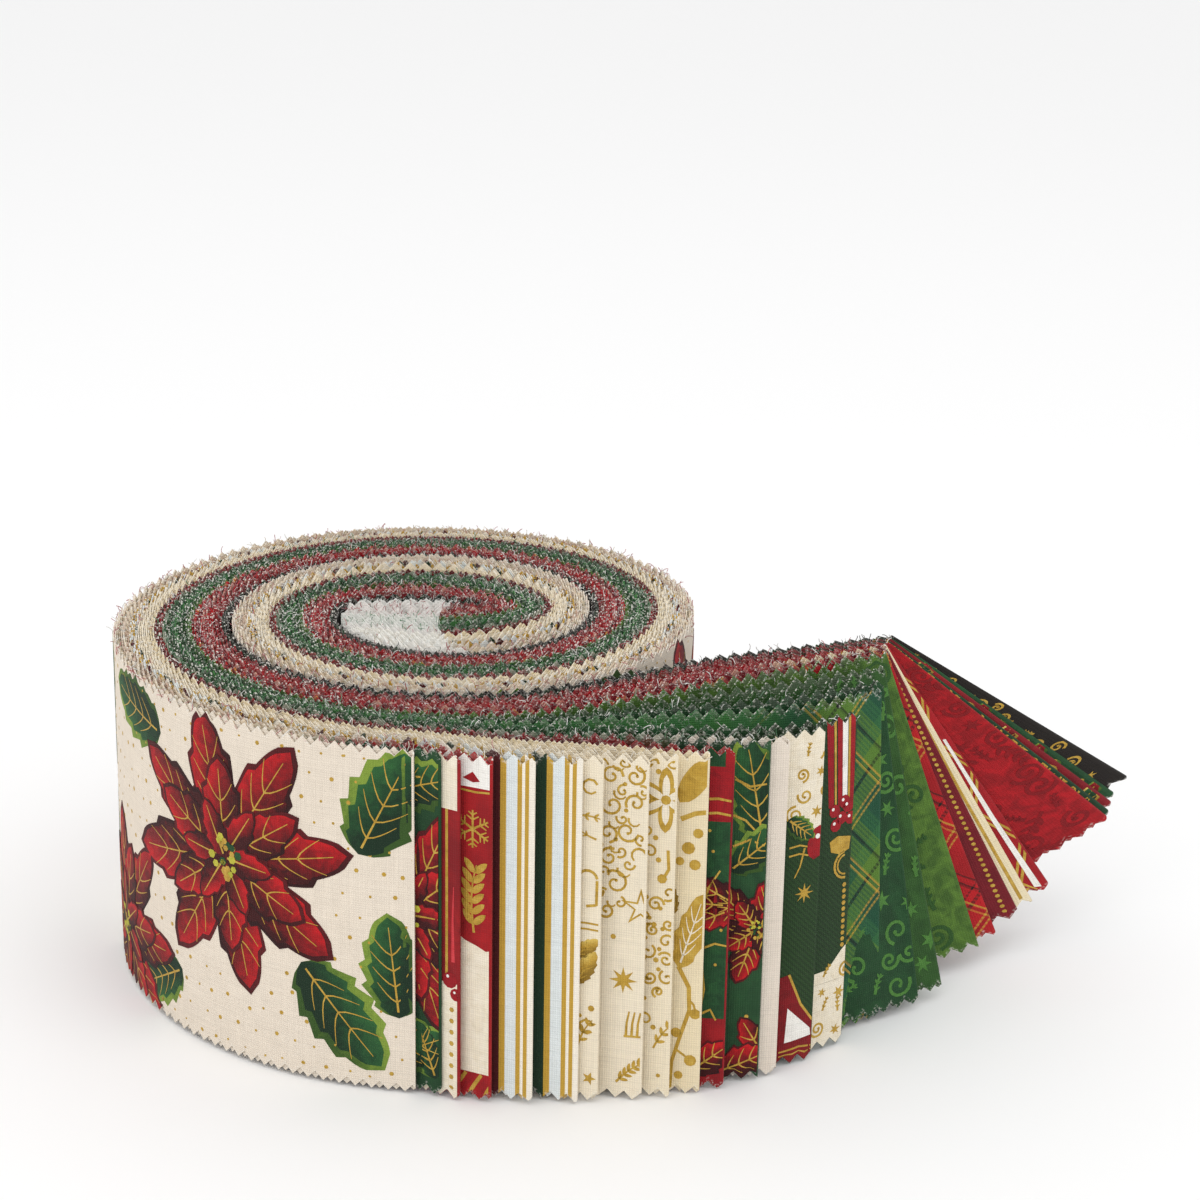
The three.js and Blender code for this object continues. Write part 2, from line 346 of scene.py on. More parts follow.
def makeRibbonTree():
    tree = bpy.data.node_groups.new("pinkedRibbon", "GeometryNodeTree")
    tree.interface.new_socket("Path", in_out="INPUT", socket_type="NodeSocketGeometry")
    for label in ("Strip Width", "Cloth Thickness", "Tooth Pitch", "Tooth Depth"):
        tree.interface.new_socket(label, in_out="INPUT", socket_type="NodeSocketFloat")
    tree.interface.new_socket("Cloth", in_out="INPUT", socket_type="NodeSocketMaterial")
    tree.interface.new_socket("Ribbon", in_out="OUTPUT", socket_type="NodeSocketGeometry")
    given = addNode(tree, "NodeGroupInput").outputs

    def named(label, kind):
        return addNode(tree, "GeometryNodeInputNamedAttribute", {"Name": label},
                       data_type=kind).outputs["Attribute"]

    path = addNode(tree, "GeometryNodeMeshToCurve", links={"Mesh": given["Path"]}).outputs["Curve"]
    corners = addNode(tree, "GeometryNodeCurvePrimitiveQuadrilateral",
                      {"Width": mm, "Height": mm}).outputs[0]
    place = addNode(tree, "GeometryNodeInputPosition").outputs[0]
    corners = addNode(tree, "GeometryNodeStoreNamedAttribute", {"Name": "cornerAt"},
                      {"Geometry": corners, "Value": place}, data_type="FLOAT_VECTOR").outputs[0]
    ribbon = addNode(tree, "GeometryNodeCurveToMesh", {"Fill Caps": True},
                     {"Curve": path, "Profile Curve": corners}).outputs[0]
    cornerAt = addNode(tree, "ShaderNodeSeparateXYZ", links={0: named("cornerAt", "FLOAT_VECTOR")}).outputs
    sideMark = addMath(tree, "SIGN", cornerAt[0])
    atTop = addMath(tree, "GREATER_THAN", cornerAt[1], 0.0)
    halfPitch = addMath(tree, "MULTIPLY", given["Tooth Pitch"], 0.5)
    notch = addMath(tree, "PINGPONG", named("toothAt", "FLOAT"), halfPitch)
    notch = addMath(tree, "MULTIPLY", addMath(tree, "DIVIDE", notch, halfPitch), given["Tooth Depth"])
    lowEdge = addMath(tree, "SUBTRACT", given["Strip Width"], notch)
    drop = addNode(tree, "GeometryNodeSwitch", links={"Switch": atTop, "False": lowEdge, "True": notch},
                   input_type="FLOAT").outputs[0]
    halfCloth = addMath(tree, "MULTIPLY", addMath(tree, "MULTIPLY", given["Cloth Thickness"], 0.5), sideMark)
    outward = addVector(tree, "SCALE", named("side", "FLOAT_VECTOR"), scale=halfCloth)
    downward = addVector(tree, "SCALE", named("down", "FLOAT_VECTOR"), scale=drop)
    point = addVector(tree, "ADD", named("spine", "FLOAT_VECTOR"), addVector(tree, "ADD", outward, downward))
    ribbon = addNode(tree, "GeometryNodeSetPosition",
                     links={"Geometry": ribbon, "Position": point}).outputs[0]
    high = addMath(tree, "SUBTRACT", given["Strip Width"], drop)
    flat = addNode(tree, "ShaderNodeCombineXYZ", links={
        0: addMath(tree, "DIVIDE", named("along", "FLOAT"), given["Strip Width"]),
        1: addMath(tree, "DIVIDE", high, given["Strip Width"])}).outputs[0]
    ribbon = addNode(tree, "GeometryNodeStoreNamedAttribute", {"Name": "UVMap"},
                     {"Geometry": ribbon, "Value": flat}, data_type="FLOAT2", domain="CORNER").outputs[0]
    ribbon = addNode(tree, "GeometryNodeStoreNamedAttribute", {"Name": "sideMark"},
                     {"Geometry": ribbon, "Value": sideMark}, data_type="FLOAT").outputs[0]
    ribbon = addNode(tree, "GeometryNodeRealizeInstances", links={"Geometry": ribbon}).outputs[0]
    ribbon = addNode(tree, "GeometryNodeSetMaterial",
                     links={"Geometry": ribbon, "Material": given["Cloth"]}).outputs[0]
    addNode(tree, "NodeGroupOutput", links={0: ribbon})
    return tree


def bakeNodes(source, tree, inputs, name, keep):
    # runs the tree on the source object and keeps its result as a plain mesh
    modifier = source.modifiers.new("nodes", "NODES")
    modifier.node_group = tree
    sockets = {item.name: item.identifier for item in tree.interface.items_tree if item.in_out == "INPUT"}
    for label, value in inputs.items():
        modifier[sockets[label]] = value
    graph = bpy.context.evaluated_depsgraph_get()
    mesh = bpy.data.meshes.new_from_object(source.evaluated_get(graph), depsgraph=graph)
    source.modifiers.remove(modifier)
    bpy.data.objects.remove(source)
    for label in [a.name for a in mesh.attributes if not a.is_required and not a.is_internal]:
        if label not in keep and label not in ("material_index", "UVMap", "sharp_edge", "sharp_face"):
            mesh.attributes.remove(mesh.attributes[label])
    shell = bmesh.new()
    shell.from_mesh(mesh)
    if shell.calc_volume(signed=True) < 0:
        bmesh.ops.reverse_faces(shell, faces=shell.faces)
        shell.to_mesh(mesh)
    shell.free()
    mesh.name = name
    return linkObject(name, mesh)


def pathObject(index):
    path = stripPaths[index]
    count = len(path["along"])
    mesh = bpy.data.meshes.new("path")
    mesh.from_pydata((path["spine"] * mm).tolist(), [(i, i + 1) for i in range(count - 1)], [])
    for label, scale in (("along", mm), ("toothAt", mm), ("fromEnd", mm)):
        mesh.attributes.new(label, "FLOAT", "POINT").data.foreach_set("value", path[label] * scale)
    for label, scale in (("spine", mm), ("side", 1), ("down", 1)):
        data = mesh.attributes.new(label, "FLOAT_VECTOR", "POINT").data
        data.foreach_set("vector", (path[label] * scale).ravel())
    return linkObject("path", mesh)


# Cotton: printed ground, plain weave, slubs, paler reverse, fuzzy pinked edges, white selvage
cottonFinish = {
    "threadPitch": 0.42,    # mm
    "weaveRelief": 0.00006,         # m
    "crownAndHighlight": (0.14, -0.06),         # painted highlight and shade of the weave: how much lighter the crown of a thread is painted, and how much darker the hollows between threads
    "slub": 0.10,
    "slubGrain": (0.10, 2.6),       # noise scale along and across a thread, per mm
    "slubRelief": 0.6,
    "mottle": 0.12,
    "mottleGrain": 0.35,
    "roughness": 0.86,
    "roughSpread": 0.10,
    "sheen": 0.04,
    "sheenRoughness": 0.6,
    "specular": 0.3,
    "sideLimit": 0.97,      # the ribbon marks its outer side 1, its inner side -1, its rim between
    "speckGrain": 2.2,
    "rimSpecks": (0.56, 0.63, 0.75),        # noise where white threads start and are full, their share
    "edgeSpecks": (0.5, 0.6, 1.0),
    "edgeBand": 0.85,       # mm
    "edgePale": 0.52,
    "wholeTeeth": 600.0,    # mm added so that PINGPONG sees no minus
    "reversePale": 0.08,
    "farFrom": 16.0,        # mm from the fold where a strip's print turns to its far tone
    "farOver": 12.0,
    "farGrain": 0.16,
    "farPatches": (0.46, 0.56),
    "farShare": 0.35,
    "selvageLength": 19.0,
    "selvageShare": 0.88,
    "selvageWhite": (0.92, 0.91, 0.87, 1.0),
    "threadWhite": (0.82, 0.79, 0.72, 1.0),
}


def toLinear(colour):
    # six hex digits to linear RGBA
    parts = [int(colour[i:i + 2], 16) / 255 for i in (0, 2, 4)]
    return tuple(c / 12.92 if c <= 0.04045 else ((c + 0.055) / 1.055) ** 2.4 for c in parts) + (1.0,)


def mixedTone(first, second, share):
    return tuple(a + (b - a) * share for a, b in zip(toLinear(first), toLinear(second)))


def mixColour(tree, factor, first, second):
    node = tree.nodes.new("ShaderNodeMix")
    node.data_type = "RGBA"
    for socket, value in ((node.inputs[0], factor), (node.inputs[6], first), (node.inputs[7], second)):
        if hasattr(value, "is_linked"):
            tree.links.new(value, socket)
        else:
            socket.default_value = value
    return node.outputs[2]


def addRamp(tree, factor, stops, step=False):
    node = tree.nodes.new("ShaderNodeValToRGB")
    ramp = node.color_ramp
    ramp.interpolation = "CONSTANT" if step else "LINEAR"
    while len(ramp.elements) < len(stops):
        ramp.elements.new(0.5)
    for element, (place, colour) in zip(ramp.elements, stops):
        element.position = place
    for element, (place, colour) in zip(ramp.elements, stops):
        element.color = colour
    tree.links.new(factor, node.inputs[0])
    return node.outputs[0]


def addNoise(tree, vector, scale, detail=2.0, rough=0.5, warp=0.0):
    values = {"Scale": scale, "Detail": detail, "Roughness": rough, "Distortion": warp}
    return addNode(tree, "ShaderNodeTexNoise", values, {"Vector": vector}).outputs["Fac"]


def newMaterial(name):
    material = bpy.data.materials.new(name)
    material.use_nodes = True
    return material, material.node_tree


def weavePlaces(tree):
    # u and v in mm along and up the strip, from its own UV map
    flat = addNode(tree, "ShaderNodeUVMap", uv_map="UVMap").outputs[0]
    parts = addNode(tree, "ShaderNodeSeparateXYZ", links={0: flat}).outputs
    u = addMath(tree, "MULTIPLY", parts[0], rollShape["clothWidth"])
    v = addMath(tree, "MULTIPLY", parts[1], rollShape["clothWidth"])
    return u, v


def stretched(tree, u, v, uScale, vScale):
    return addNode(tree, "ShaderNodeCombineXYZ", links={
        0: addMath(tree, "MULTIPLY", u, uScale), 1: addMath(tree, "MULTIPLY", v, vScale)}).outputs[0]


def finishCotton(tree, shade, u, v, metal=0.0, roughness=cottonFinish["roughness"]):
    # slubs, mottling and a painted highlight on the thread crowns over the colour, the weave as bump, then
    # the shader
    finish = cottonFinish
    along, across = finish["slubGrain"]
    slubs = addMath(tree, "ADD", addNoise(tree, stretched(tree, u, v, along, across), 1.0, 3.0),
                    addNoise(tree, stretched(tree, u, v, across, along), 1.0, 3.0))
    mottle = addNoise(tree, stretched(tree, u, v, finish["mottleGrain"], finish["mottleGrain"]), 1.0, 4.0)
    value = addMath(tree, "MULTIPLY_ADD", addMath(tree, "SUBTRACT", slubs, 1.0), finish["slub"] * 2, 1.0)
    value = addMath(tree, "ADD", value,
                    addMath(tree, "MULTIPLY", addMath(tree, "SUBTRACT", mottle, 0.5), finish["mottle"]))
    warp, weft = (addMath(tree, "SINE", addMath(tree, "MULTIPLY", way, math.pi / finish["threadPitch"]))
                  for way in (u, v))
    crownAndHighlight = addMath(tree, "ABSOLUTE", addMath(tree, "MULTIPLY", warp, weft))
    # painted highlight: thread crowns are painted lighter and the hollows between them darker, as light would
    # fall on the weave
    value = addMath(tree, "ADD", value, addMath(tree, "MULTIPLY_ADD", crownAndHighlight, *finish["crownAndHighlight"]))
    height = addMath(tree, "ADD", crownAndHighlight, addMath(tree, "MULTIPLY", slubs, finish["slubRelief"]))
    bump = addNode(tree, "ShaderNodeBump", {"Strength": 1.0, "Distance": finish["weaveRelief"]},
                   {"Height": height}).outputs[0]
    spread = finish["roughSpread"]
    rough = addMath(tree, "MULTIPLY_ADD", mottle, spread, roughness - spread / 2)
    shader = tree.nodes["Principled BSDF"]
    tree.links.new(addVector(tree, "SCALE", shade, scale=value), shader.inputs["Base Color"])
    tree.links.new(bump, shader.inputs["Normal"])
    tree.links.new(rough, shader.inputs["Roughness"])
    shader.inputs["Sheen Weight"].default_value = finish["sheen"]
    shader.inputs["Sheen Roughness"].default_value = finish["sheenRoughness"]
    shader.inputs["Metallic"].default_value = metal
    shader.inputs["Specular IOR Level"].default_value = finish["specular"]


weaveForms = {
    "plaidWeft": (0.9, 0.36, 0.32),     # threads a mm on the slant, swing and least share of the falling set
    "twillWave": 6.283 / 1.1,           # radians a mm
    "twillShade": (0.3, 0.4),
    "tonalCloud": (3.0, 0.55, 1.2),     # detail, roughness and warp of the noise
    "tonalStops": (0.35, 0.62),
    "plainGrain": 0.12,
}


def patternShade(tree, u, v, pattern, base, other, period, stripes):
    # the colour of the new cloth
    if pattern == "stripes":        # bands up the strip, repeated along it
        return addRamp(tree, addMath(tree, "FRACT", addMath(tree, "DIVIDE", u, period)), stripes, step=True)
    slant = addMath(tree, "ADD", u, v)
    if pattern == "plaid":          # two sets of slanted bands, one laid half over the other
        rising = addMath(tree, "FRACT", addMath(tree, "DIVIDE", slant, period))
        falling = addMath(tree, "DIVIDE", addMath(tree, "SUBTRACT", v, u), period)
        falling = addMath(tree, "FRACT", falling)
        pitch, swing, least = weaveForms["plaidWeft"]
        weft = addMath(tree, "FRACT", addMath(tree, "MULTIPLY", slant, pitch))
        weft = addMath(tree, "MULTIPLY_ADD", addMath(tree, "GREATER_THAN", weft, 0.5), swing, least)
        return mixColour(tree, weft, addRamp(tree, rising, stripes, step=True),
                         addRamp(tree, falling, stripes, step=True))
    if pattern == "twill":          # slanted ribs
        rib = addMath(tree, "SINE", addMath(tree, "MULTIPLY", slant, weaveForms["twillWave"]))
        return mixColour(tree, addMath(tree, "MULTIPLY_ADD", rib, *weaveForms["twillShade"]), base, other)
    if pattern == "tonal":          # blotchy two-tone ground
        cloud = addNoise(tree, stretched(tree, u, v, 1 / period, 1 / period), 1.0, *weaveForms["tonalCloud"])
        return addRamp(tree, cloud, list(zip(weaveForms["tonalStops"], (base, other))))
    cloud = addNoise(tree, stretched(tree, u, v, weaveForms["plainGrain"], weaveForms["plainGrain"]), 1.0)
    return mixColour(tree, addMath(tree, "MULTIPLY", cloud, 0.5), base, other)


def specksOf(tree, speck, start, full, most):
    return addRamp(tree, speck, [(start, (0.0, 0.0, 0.0, 1.0)), (full, (most, most, most, 1.0))])


def wornShade(tree, u, v, shade, phase):
    # paler reverse, white threads in the cut rim and next to the pinked cut, white selvage
    finish, white = cottonFinish, cottonFinish["threadWhite"]
    mark = addNode(tree, "ShaderNodeAttribute", attribute_name="sideMark").outputs["Fac"]
    speck = addNoise(tree, stretched(tree, u, v, finish["speckGrain"], finish["speckGrain"]), 1.0)
    back = addMath(tree, "LESS_THAN", mark, -finish["sideLimit"])
    shade = mixColour(tree, back, shade, mixColour(tree, finish["reversePale"], shade, white))
    rim = addMath(tree, "LESS_THAN", addMath(tree, "ABSOLUTE", mark), finish["sideLimit"])
    rimShade = mixColour(tree, specksOf(tree, speck, *finish["rimSpecks"]), shade, white)
    shade = mixColour(tree, rim, shade, rimShade)
    halfPitch, halfWidth = rollShape["toothPitch"] / 2, rollShape["clothWidth"] / 2
    notch = addMath(tree, "PINGPONG", addMath(tree, "ADD", u, phase + finish["wholeTeeth"]), halfPitch)
    notch = addMath(tree, "MULTIPLY", notch, rollShape["toothDepth"] / halfPitch)
    middle = addMath(tree, "ABSOLUTE", addMath(tree, "SUBTRACT", v, halfWidth))
    toCut = addMath(tree, "SUBTRACT", addMath(tree, "SUBTRACT", halfWidth, middle), notch)
    near = addMath(tree, "SUBTRACT", 1.0, addMath(tree, "DIVIDE", toCut, finish["edgeBand"]))
    near = addNode(tree, "ShaderNodeClamp", links={0: near}).outputs[0]
    fluff = specksOf(tree, speck, *finish["edgeSpecks"])
    near = addMath(tree, "MULTIPLY", near, addMath(tree, "MULTIPLY", fluff, finish["edgePale"]))
    shade = mixColour(tree, near, shade, white)
    fromEnd = addNode(tree, "ShaderNodeAttribute", attribute_name="fromEnd").outputs["Fac"]
    selvage = addMath(tree, "LESS_THAN", fromEnd, finish["selvageLength"] * mm)
    selvage = addMath(tree, "MULTIPLY", selvage, finish["selvageShare"])
    return mixColour(tree, selvage, shade, finish["selvageWhite"])


def makeCloth(name, phase, ground, second, pattern, period, stripes, far):
    material, tree = newMaterial(name)
    u, v = weavePlaces(tree)
    base, other = toLinear(ground), toLinear(second or ground)
    shade = patternShade(tree, u, v, pattern, base, other, period, stripes)
    if far:                         # the part that only shows its upper edge takes one blotchy tone
        finish = cottonFinish
        reach = addMath(tree, "SUBTRACT", addMath(tree, "ABSOLUTE", u), finish["farFrom"])
        reach = addMath(tree, "DIVIDE", reach, finish["farOver"])
        reach = addNode(tree, "ShaderNodeClamp", links={0: reach}).outputs[0]
        cloud = addNoise(tree, stretched(tree, u, v, finish["farGrain"], finish["farGrain"]), 1.0)
        tones = (toLinear(far), mixedTone(far, ground, finish["farShare"]))
        shade = mixColour(tree, reach, shade, addRamp(tree, cloud, list(zip(finish["farPatches"], tones))))
    finishCotton(tree, wornShade(tree, u, v, shade, phase), u, v)
    return material


cream, gold = toLinear("EFE7D8"), toLinear("BE9738")
icy = toLinear("DCE2E2")


def stripeStops(dark):
    # one repeat of the striped cloth, widths in mm back from the fold
    widths = [(1.0, cream), (0.75, gold), (0.5, cream), (0.85, gold), (2.0, icy), (1.1, gold), (2.1, dark),
              (1.1, gold), (2.0, icy), (0.85, gold), (0.5, cream), (0.75, gold), (2.0, cream)]
    total = sum(size for size, colour in widths)
    stops, place = [], total
    for size, colour in widths:
        place -= size
        stops.append((max(0.0, place / total), colour))
    return total, stops[::-1]


stripePeriod, redStripes = stripeStops(toLinear("4A0B10"))
greenStripes = stripeStops(toLinear("14301C"))[1]
teal, olive, black = toLinear("1A4C34"), toLinear("557A2B"), toLinear("12150F")
greenPlaid = [
    (0.0, teal), (0.15, gold), (0.18, teal), (0.225, gold), (0.255, olive), (0.46, black), (0.51, olive),
    (0.66, toLinear("2C6238")), (0.84, teal),
]
redPlaid = [
    (0.0, toLinear("A8141C")), (0.2, gold), (0.23, toLinear("8E1018")), (0.28, gold),
    (0.31, toLinear("B5141C")),
    (0.5, toLinear("17120F")), (0.55, toLinear("B5141C")), (0.63, toLinear("17120F")),
    (0.66, toLinear("9A1118")),
]
clothRows = {  # strip: ground, second tone, pattern, size in mm, stripes
    "stripFlowers": ("E6DACA", "DDCFBC", "plain", 0, None),
    "stripGreenFlowers": ("1E4425", "16351D", "tonal", 11, None),
    "stripCreamRedFold": ("7E141A", "9A1A1E", "tonal", 8, None),
    "stripRedSnow": ("8E1218", "A8161C", "tonal", 9, None),
    "stripStripes": ("F0E9DA", None, "stripes", stripePeriod, redStripes),
    "stripStripesTwin": ("F0E9DA", None, "stripes", stripePeriod, greenStripes),
    "stripCreamSparse": ("EBDFC8", "E7D9BD", "plain", 0, None),
    "stripCreamScrolls": ("EBDFC8", "E9DCC2", "plain", 0, None),
    "stripCreamStar": ("EADDC3", "E7D8BA", "plain", 0, None),
    "stripCreamLeaves": ("E9DABA", "E3D0A6", "plain", 0, None),
    "stripRedGreen": ("7D1219", "99141B", "tonal", 9, None),
    "stripGreenRed": ("1B3C22", "254D2B", "tonal", 9, None),
    "stripPlainCream": ("E3D7C9", "DACCBB", "plain", 0, None),
    "stripGreenTwill": ("27431F", "182E15", "twill", 0, None),
    "stripRibbon": ("25401F", "172C15", "twill", 0, None),
    "stripGreenPlaid": ("3F7A2E", None, "plaid", 21.0, greenPlaid),
    "stripGreenTonal": ("1F4A26", "183D1F", "tonal", 6, None),
    "stripGreenScrolls": ("335A26", "274A1E", "tonal", 6, None),
    "stripLightGreen": ("56792C", "3C5C20", "tonal", 4, None),
    "stripRedPlaid": ("A8141C", None, "plaid", 19.0, redPlaid),
    "stripMaroon": ("7A1420", "66101A", "tonal", 9, None),
    "stripCreamSliver": ("E9DCBC", "DFCB98", "plain", 0, None),
    "stripRedCheck": ("A81720", "8E121A", "tonal", 8, None),
    "stripRedTonal": ("AE121C", "8A0D15", "tonal", 3.6, None),
    "stripGreenSliver": ("1E4226", "173420", "tonal", 9, None),
    "stripRedLeaf": ("8C1620", "70101A", "tonal", 9, None),
    "stripGreenBack": ("23502D", "1A3F23", "tonal", 9, None),
    "stripBlackGold": ("1D1815", "251F1A", "plain", 0, None),
}

farTones = {  # what most of the strip's length looks like, seen along its upper edge
    "stripGreenFlowers": "DCC9AE", "stripCreamRedFold": "E4D6C0", "stripRedSnow": "D9C8AE",
    "stripRedGreen": "5A1418", "stripGreenRed": "8C2228", "stripPlainCream": "2F5A36",
    "stripRibbon": "2A5A34", "stripGreenPlaid": "3E7440", "stripCreamSliver": "A8323A",
    "stripGreenSliver": "8A1B22", "stripGreenBack": "1F2A20",
}
ribbonTree = makeRibbonTree()
strips = []
for index, row in enumerate(stripRows):
    cloth = makeCloth("cotton" + row[0][5:], stripPaths[index]["phase"], *clothRows[row[0]],
                      farTones.get(row[0]))
    sizes = {"Strip Width": rollShape["clothWidth"] * mm, "Cloth Thickness": rollShape["clothThickness"] * mm,
             "Tooth Pitch": rollShape["toothPitch"] * mm, "Tooth Depth": rollShape["toothDepth"] * mm,
             "Cloth": cloth}
    strip = bakeNodes(pathObject(index), ribbonTree, sizes, row[0], ("fromEnd", "sideMark"))
    strip.data.shade_smooth()
    strip.data.set_sharp_from_angle(angle=math.radians(rollShape["sharpAngle"]))
    strips.append(strip)
print("strips wound:", sum(len(strip.data.polygons) for strip in strips), "faces")


# Printed motifs: closed loops on the strip, x in mm from the fold (minus on the outer layer)
# and y in mm above its lower edge; each becomes a thin closed film of ink on the cloth.
# A shape function gives one shape, or yields several in the order in which they are laid.
inkShape = {
    "gridAlong": 1.6,
    "gridUp": 3.6,
    "gridStart": (0.8, 0.9),
    "gridLeast": 1.2,       # shapes lower than this get no grid
    "gridClear": 0.7,       # least room from the grid to the outline
    "film": 0.035,          # mm over the cloth
    "levelStep": 0.012,
    "sunk": 0.05,
    "sharpAngle": 50,
    "foldClear": 0.42,
    "edgeClear": 0.1,
    "toothBand": 2.4,       # how far in from the cut the print follows the teeth
    "toneAlong": (0.04, 0.66),      # tone at a petal's root and what its length adds
    "toneAcross": (-0.18, 0.22, 2.0),
}


def loopShape(loop, level=0, ink="inkGold", root=None, tip=None):
    return {"ink": ink, "loop": np.array(loop, float), "level": level, "root": root, "tip": tip}


def turnedBy(points, x, y, angle):
    c, s = math.cos(angle), math.sin(angle)
    along, up = np.array(points, float).T
    return np.stack([x + along * c - up * s, y + along * s + up * c], axis=1)


def strokeShape(points, thick=0.4, taper=0.35, level=0, ink="inkGold"):
    # a brush line of tapering width along the points, tiled rib by rib
    points = np.array(points, float)
    steps = np.linalg.norm(np.diff(points, axis=0), axis=1)
    reach = np.concatenate([[0], np.cumsum(steps)])
    count = max(len(points), int(reach[-1] / inkShape["gridAlong"]) + 2)
    marks = np.unique(np.concatenate([reach, np.linspace(0, reach[-1], count)]))
    points = np.stack([np.interp(marks, reach, points[:, axis]) for axis in (0, 1)], axis=1)
    along = np.gradient(points, axis=0)
    along /= np.maximum(np.linalg.norm(along, axis=1), 1e-6)[:, None]
    across = np.stack([-along[:, 1], along[:, 0]], axis=1)
    half = thick / 2 * (1 - (1 - taper) * marks / marks[-1])[:, None]
    loop = np.concatenate([points - across * half, (points + across * half)[::-1]])
    return dict(loopShape(loop, level, ink), ribs=len(points))


def arcPoints(x, y, radius, start, end, count=8):
    angles = np.radians(np.linspace(start, end, count))
    return np.stack([x + radius * np.cos(angles), y + radius * np.sin(angles)], axis=1)


def dotShape(x, y, radius, level=0, count=7, ink="inkGold"):
    return loopShape(arcPoints(x, y, radius, 0, 360 - 360 / count, count), level, ink)


def boxShape(ink, left, low, right, high):
    return loopShape([(left, low), (right, low), (right, high), (left, high)], 0, ink)


def starShape(x, y, radius, points=8, waist=0.42, level=0, turn=0.0, ink="inkGold"):
    angles = np.radians(turn) + np.arange(points * 2) * math.pi / points
    reach = np.where(np.arange(points * 2) % 2 == 0, radius, radius * waist)
    return loopShape(np.stack([x + reach * np.cos(angles), y + reach * np.sin(angles)], axis=1), level, ink)


def eachShape(maker, rows, *rest):
    # what one shape function makes of every row, with the same rest
    for row in rows:
        made = maker(*row, *rest)
        yield from [made] if isinstance(made, dict) else made


def snowShapes(x, y, radius, thick, level):
    yield dotShape(x, y, thick * 1.3, level)
    for arm in range(6):
        place = (x, y, math.radians(60 * arm + 30))
        yield strokeShape(turnedBy([(0.2, 0), (radius * 0.5, 0), (radius, 0)], *place), thick, 0.8, level)
        for lean in (-1, 1):
            for at, reach in ((0.5, 0.34), (0.76, 0.24)):
                barb = [(radius * at, 0), (radius * (at + reach * 0.6), lean * radius * reach)]
                yield strokeShape(turnedBy(barb, *place), thick * 0.85, 0.6, level)


def scrollShapes(x, y, size, turns=1.4, start=0.0, side=1, thick=0.42, level=0, ink="inkGold"):
    # a curl that winds inwards and ends in a dot
    share = np.linspace(0, 1, int(10 * turns) + 6)
    angles = math.radians(start) + side * share * turns * 2 * math.pi
    reach = size * (1 - share * 0.8)
    points = np.stack([x + reach * np.cos(angles), y + reach * np.sin(angles)], axis=1)
    yield strokeShape(points, thick, 0.8, level, ink)
    yield dotShape(*points[-1], thick * 0.62, level, ink=ink)


def leafLoop(length, width, teeth=0, sharp=0.62, count=15):
    # pointed oval from (0, 0) to (length, 0), with shallow lobes where teeth is set
    t = np.linspace(0.0, 1.0, count)
    half = width / 2 * (t ** 0.55) * ((1 - t) ** sharp) / 0.45
    if teeth:
        half = half * (0.84 + 0.26 * ((t * teeth + 0.25) % 1.0) ** 1.4)
    upper = np.stack([t * length, half], axis=1)
    lower = np.stack([t * length, -half], axis=1)[1:-1][::-1]
    return np.concatenate([upper, lower])


def veinShapes(length, width, place, pairs=4, thick=0.42, level=0, ink="inkGold"):
    # a middle vein and bent side veins, turned and moved to place = (x, y, angle)
    t = np.linspace(0.06, 0.9, 7)
    yield strokeShape(turnedBy(np.stack([t * length, t * 0], axis=1), *place), thick, 0.35, level, ink)
    s = np.linspace(0, 1, 5)
    for pair in range(pairs):
        at = 0.16 + 0.62 * pair / pairs
        reach = width * 0.36 * (1 - abs(at - 0.4) * 0.9)
        for side in (-1, 1):
            line = np.stack([(at + 0.2 * s ** 1.3) * length, side * reach * s ** 0.9], axis=1)
            yield strokeShape(turnedBy(line, *place), thick * 0.72, 0.35, level, ink)


bladeForms = {  # rim length and width, blade width, lobes, sharpness, samples, vein
    "petal": (1.05, 1.14, 1.0, 4, 0.75, 25, 0.42),
    "leaf": (1.04, 1.16, 0.86, 5, 0.7, 26, 0.4),
}


def bladeShapes(form, place, length, width, level, inks, pairs):
    # a lobed blade over its darker rim, with veins on top
    rimLong, rimWide, bladeWide, lobes, sharp, count, vein = bladeForms[form]
    root, tip = place[:2], turnedBy([(length, 0)], *place)[0]
    rim = leafLoop(length * rimLong, width * rimWide, lobes, sharp, count)
    blade = leafLoop(length, width * bladeWide, lobes, sharp, count)
    yield loopShape(turnedBy(rim, *place), level, inks[0], root, tip)
    yield loopShape(turnedBy(blade, *place), level + 1, inks[1], root, tip)
    yield from veinShapes(length, width, place, pairs, vein, level + 2, inks[2])


def petalShapes(x, y, angle, length, width, level, veins=3):
    inks = ("inkWine", "inkPetal", "inkGold")
    return bladeShapes("petal", (x, y, angle), length, width, level, inks, veins)


def leafShapes(x, y, angle, length, width, level=0, inks=("inkOlive", "inkPine", "inkGold"), pairs=4):
    return bladeShapes("leaf", (x, y, math.radians(angle)), length, width, level, inks, pairs)


bloomShape = {
    "whorls": ((8, 1.0, 0.44), (6, 0.7, 0.36), (6, 0.44, 0.22)),    # petals, reach, width
    "veins": (4, 3, 0),
    "whorlTurn": 22,
    "stamens": 22,
    "stamenReach": 0.15,
    "stamenSize": (0.018, 0.034),
    "stamenInks": ("inkStamen", "inkStamen", "inkGold", "inkPine"),
}


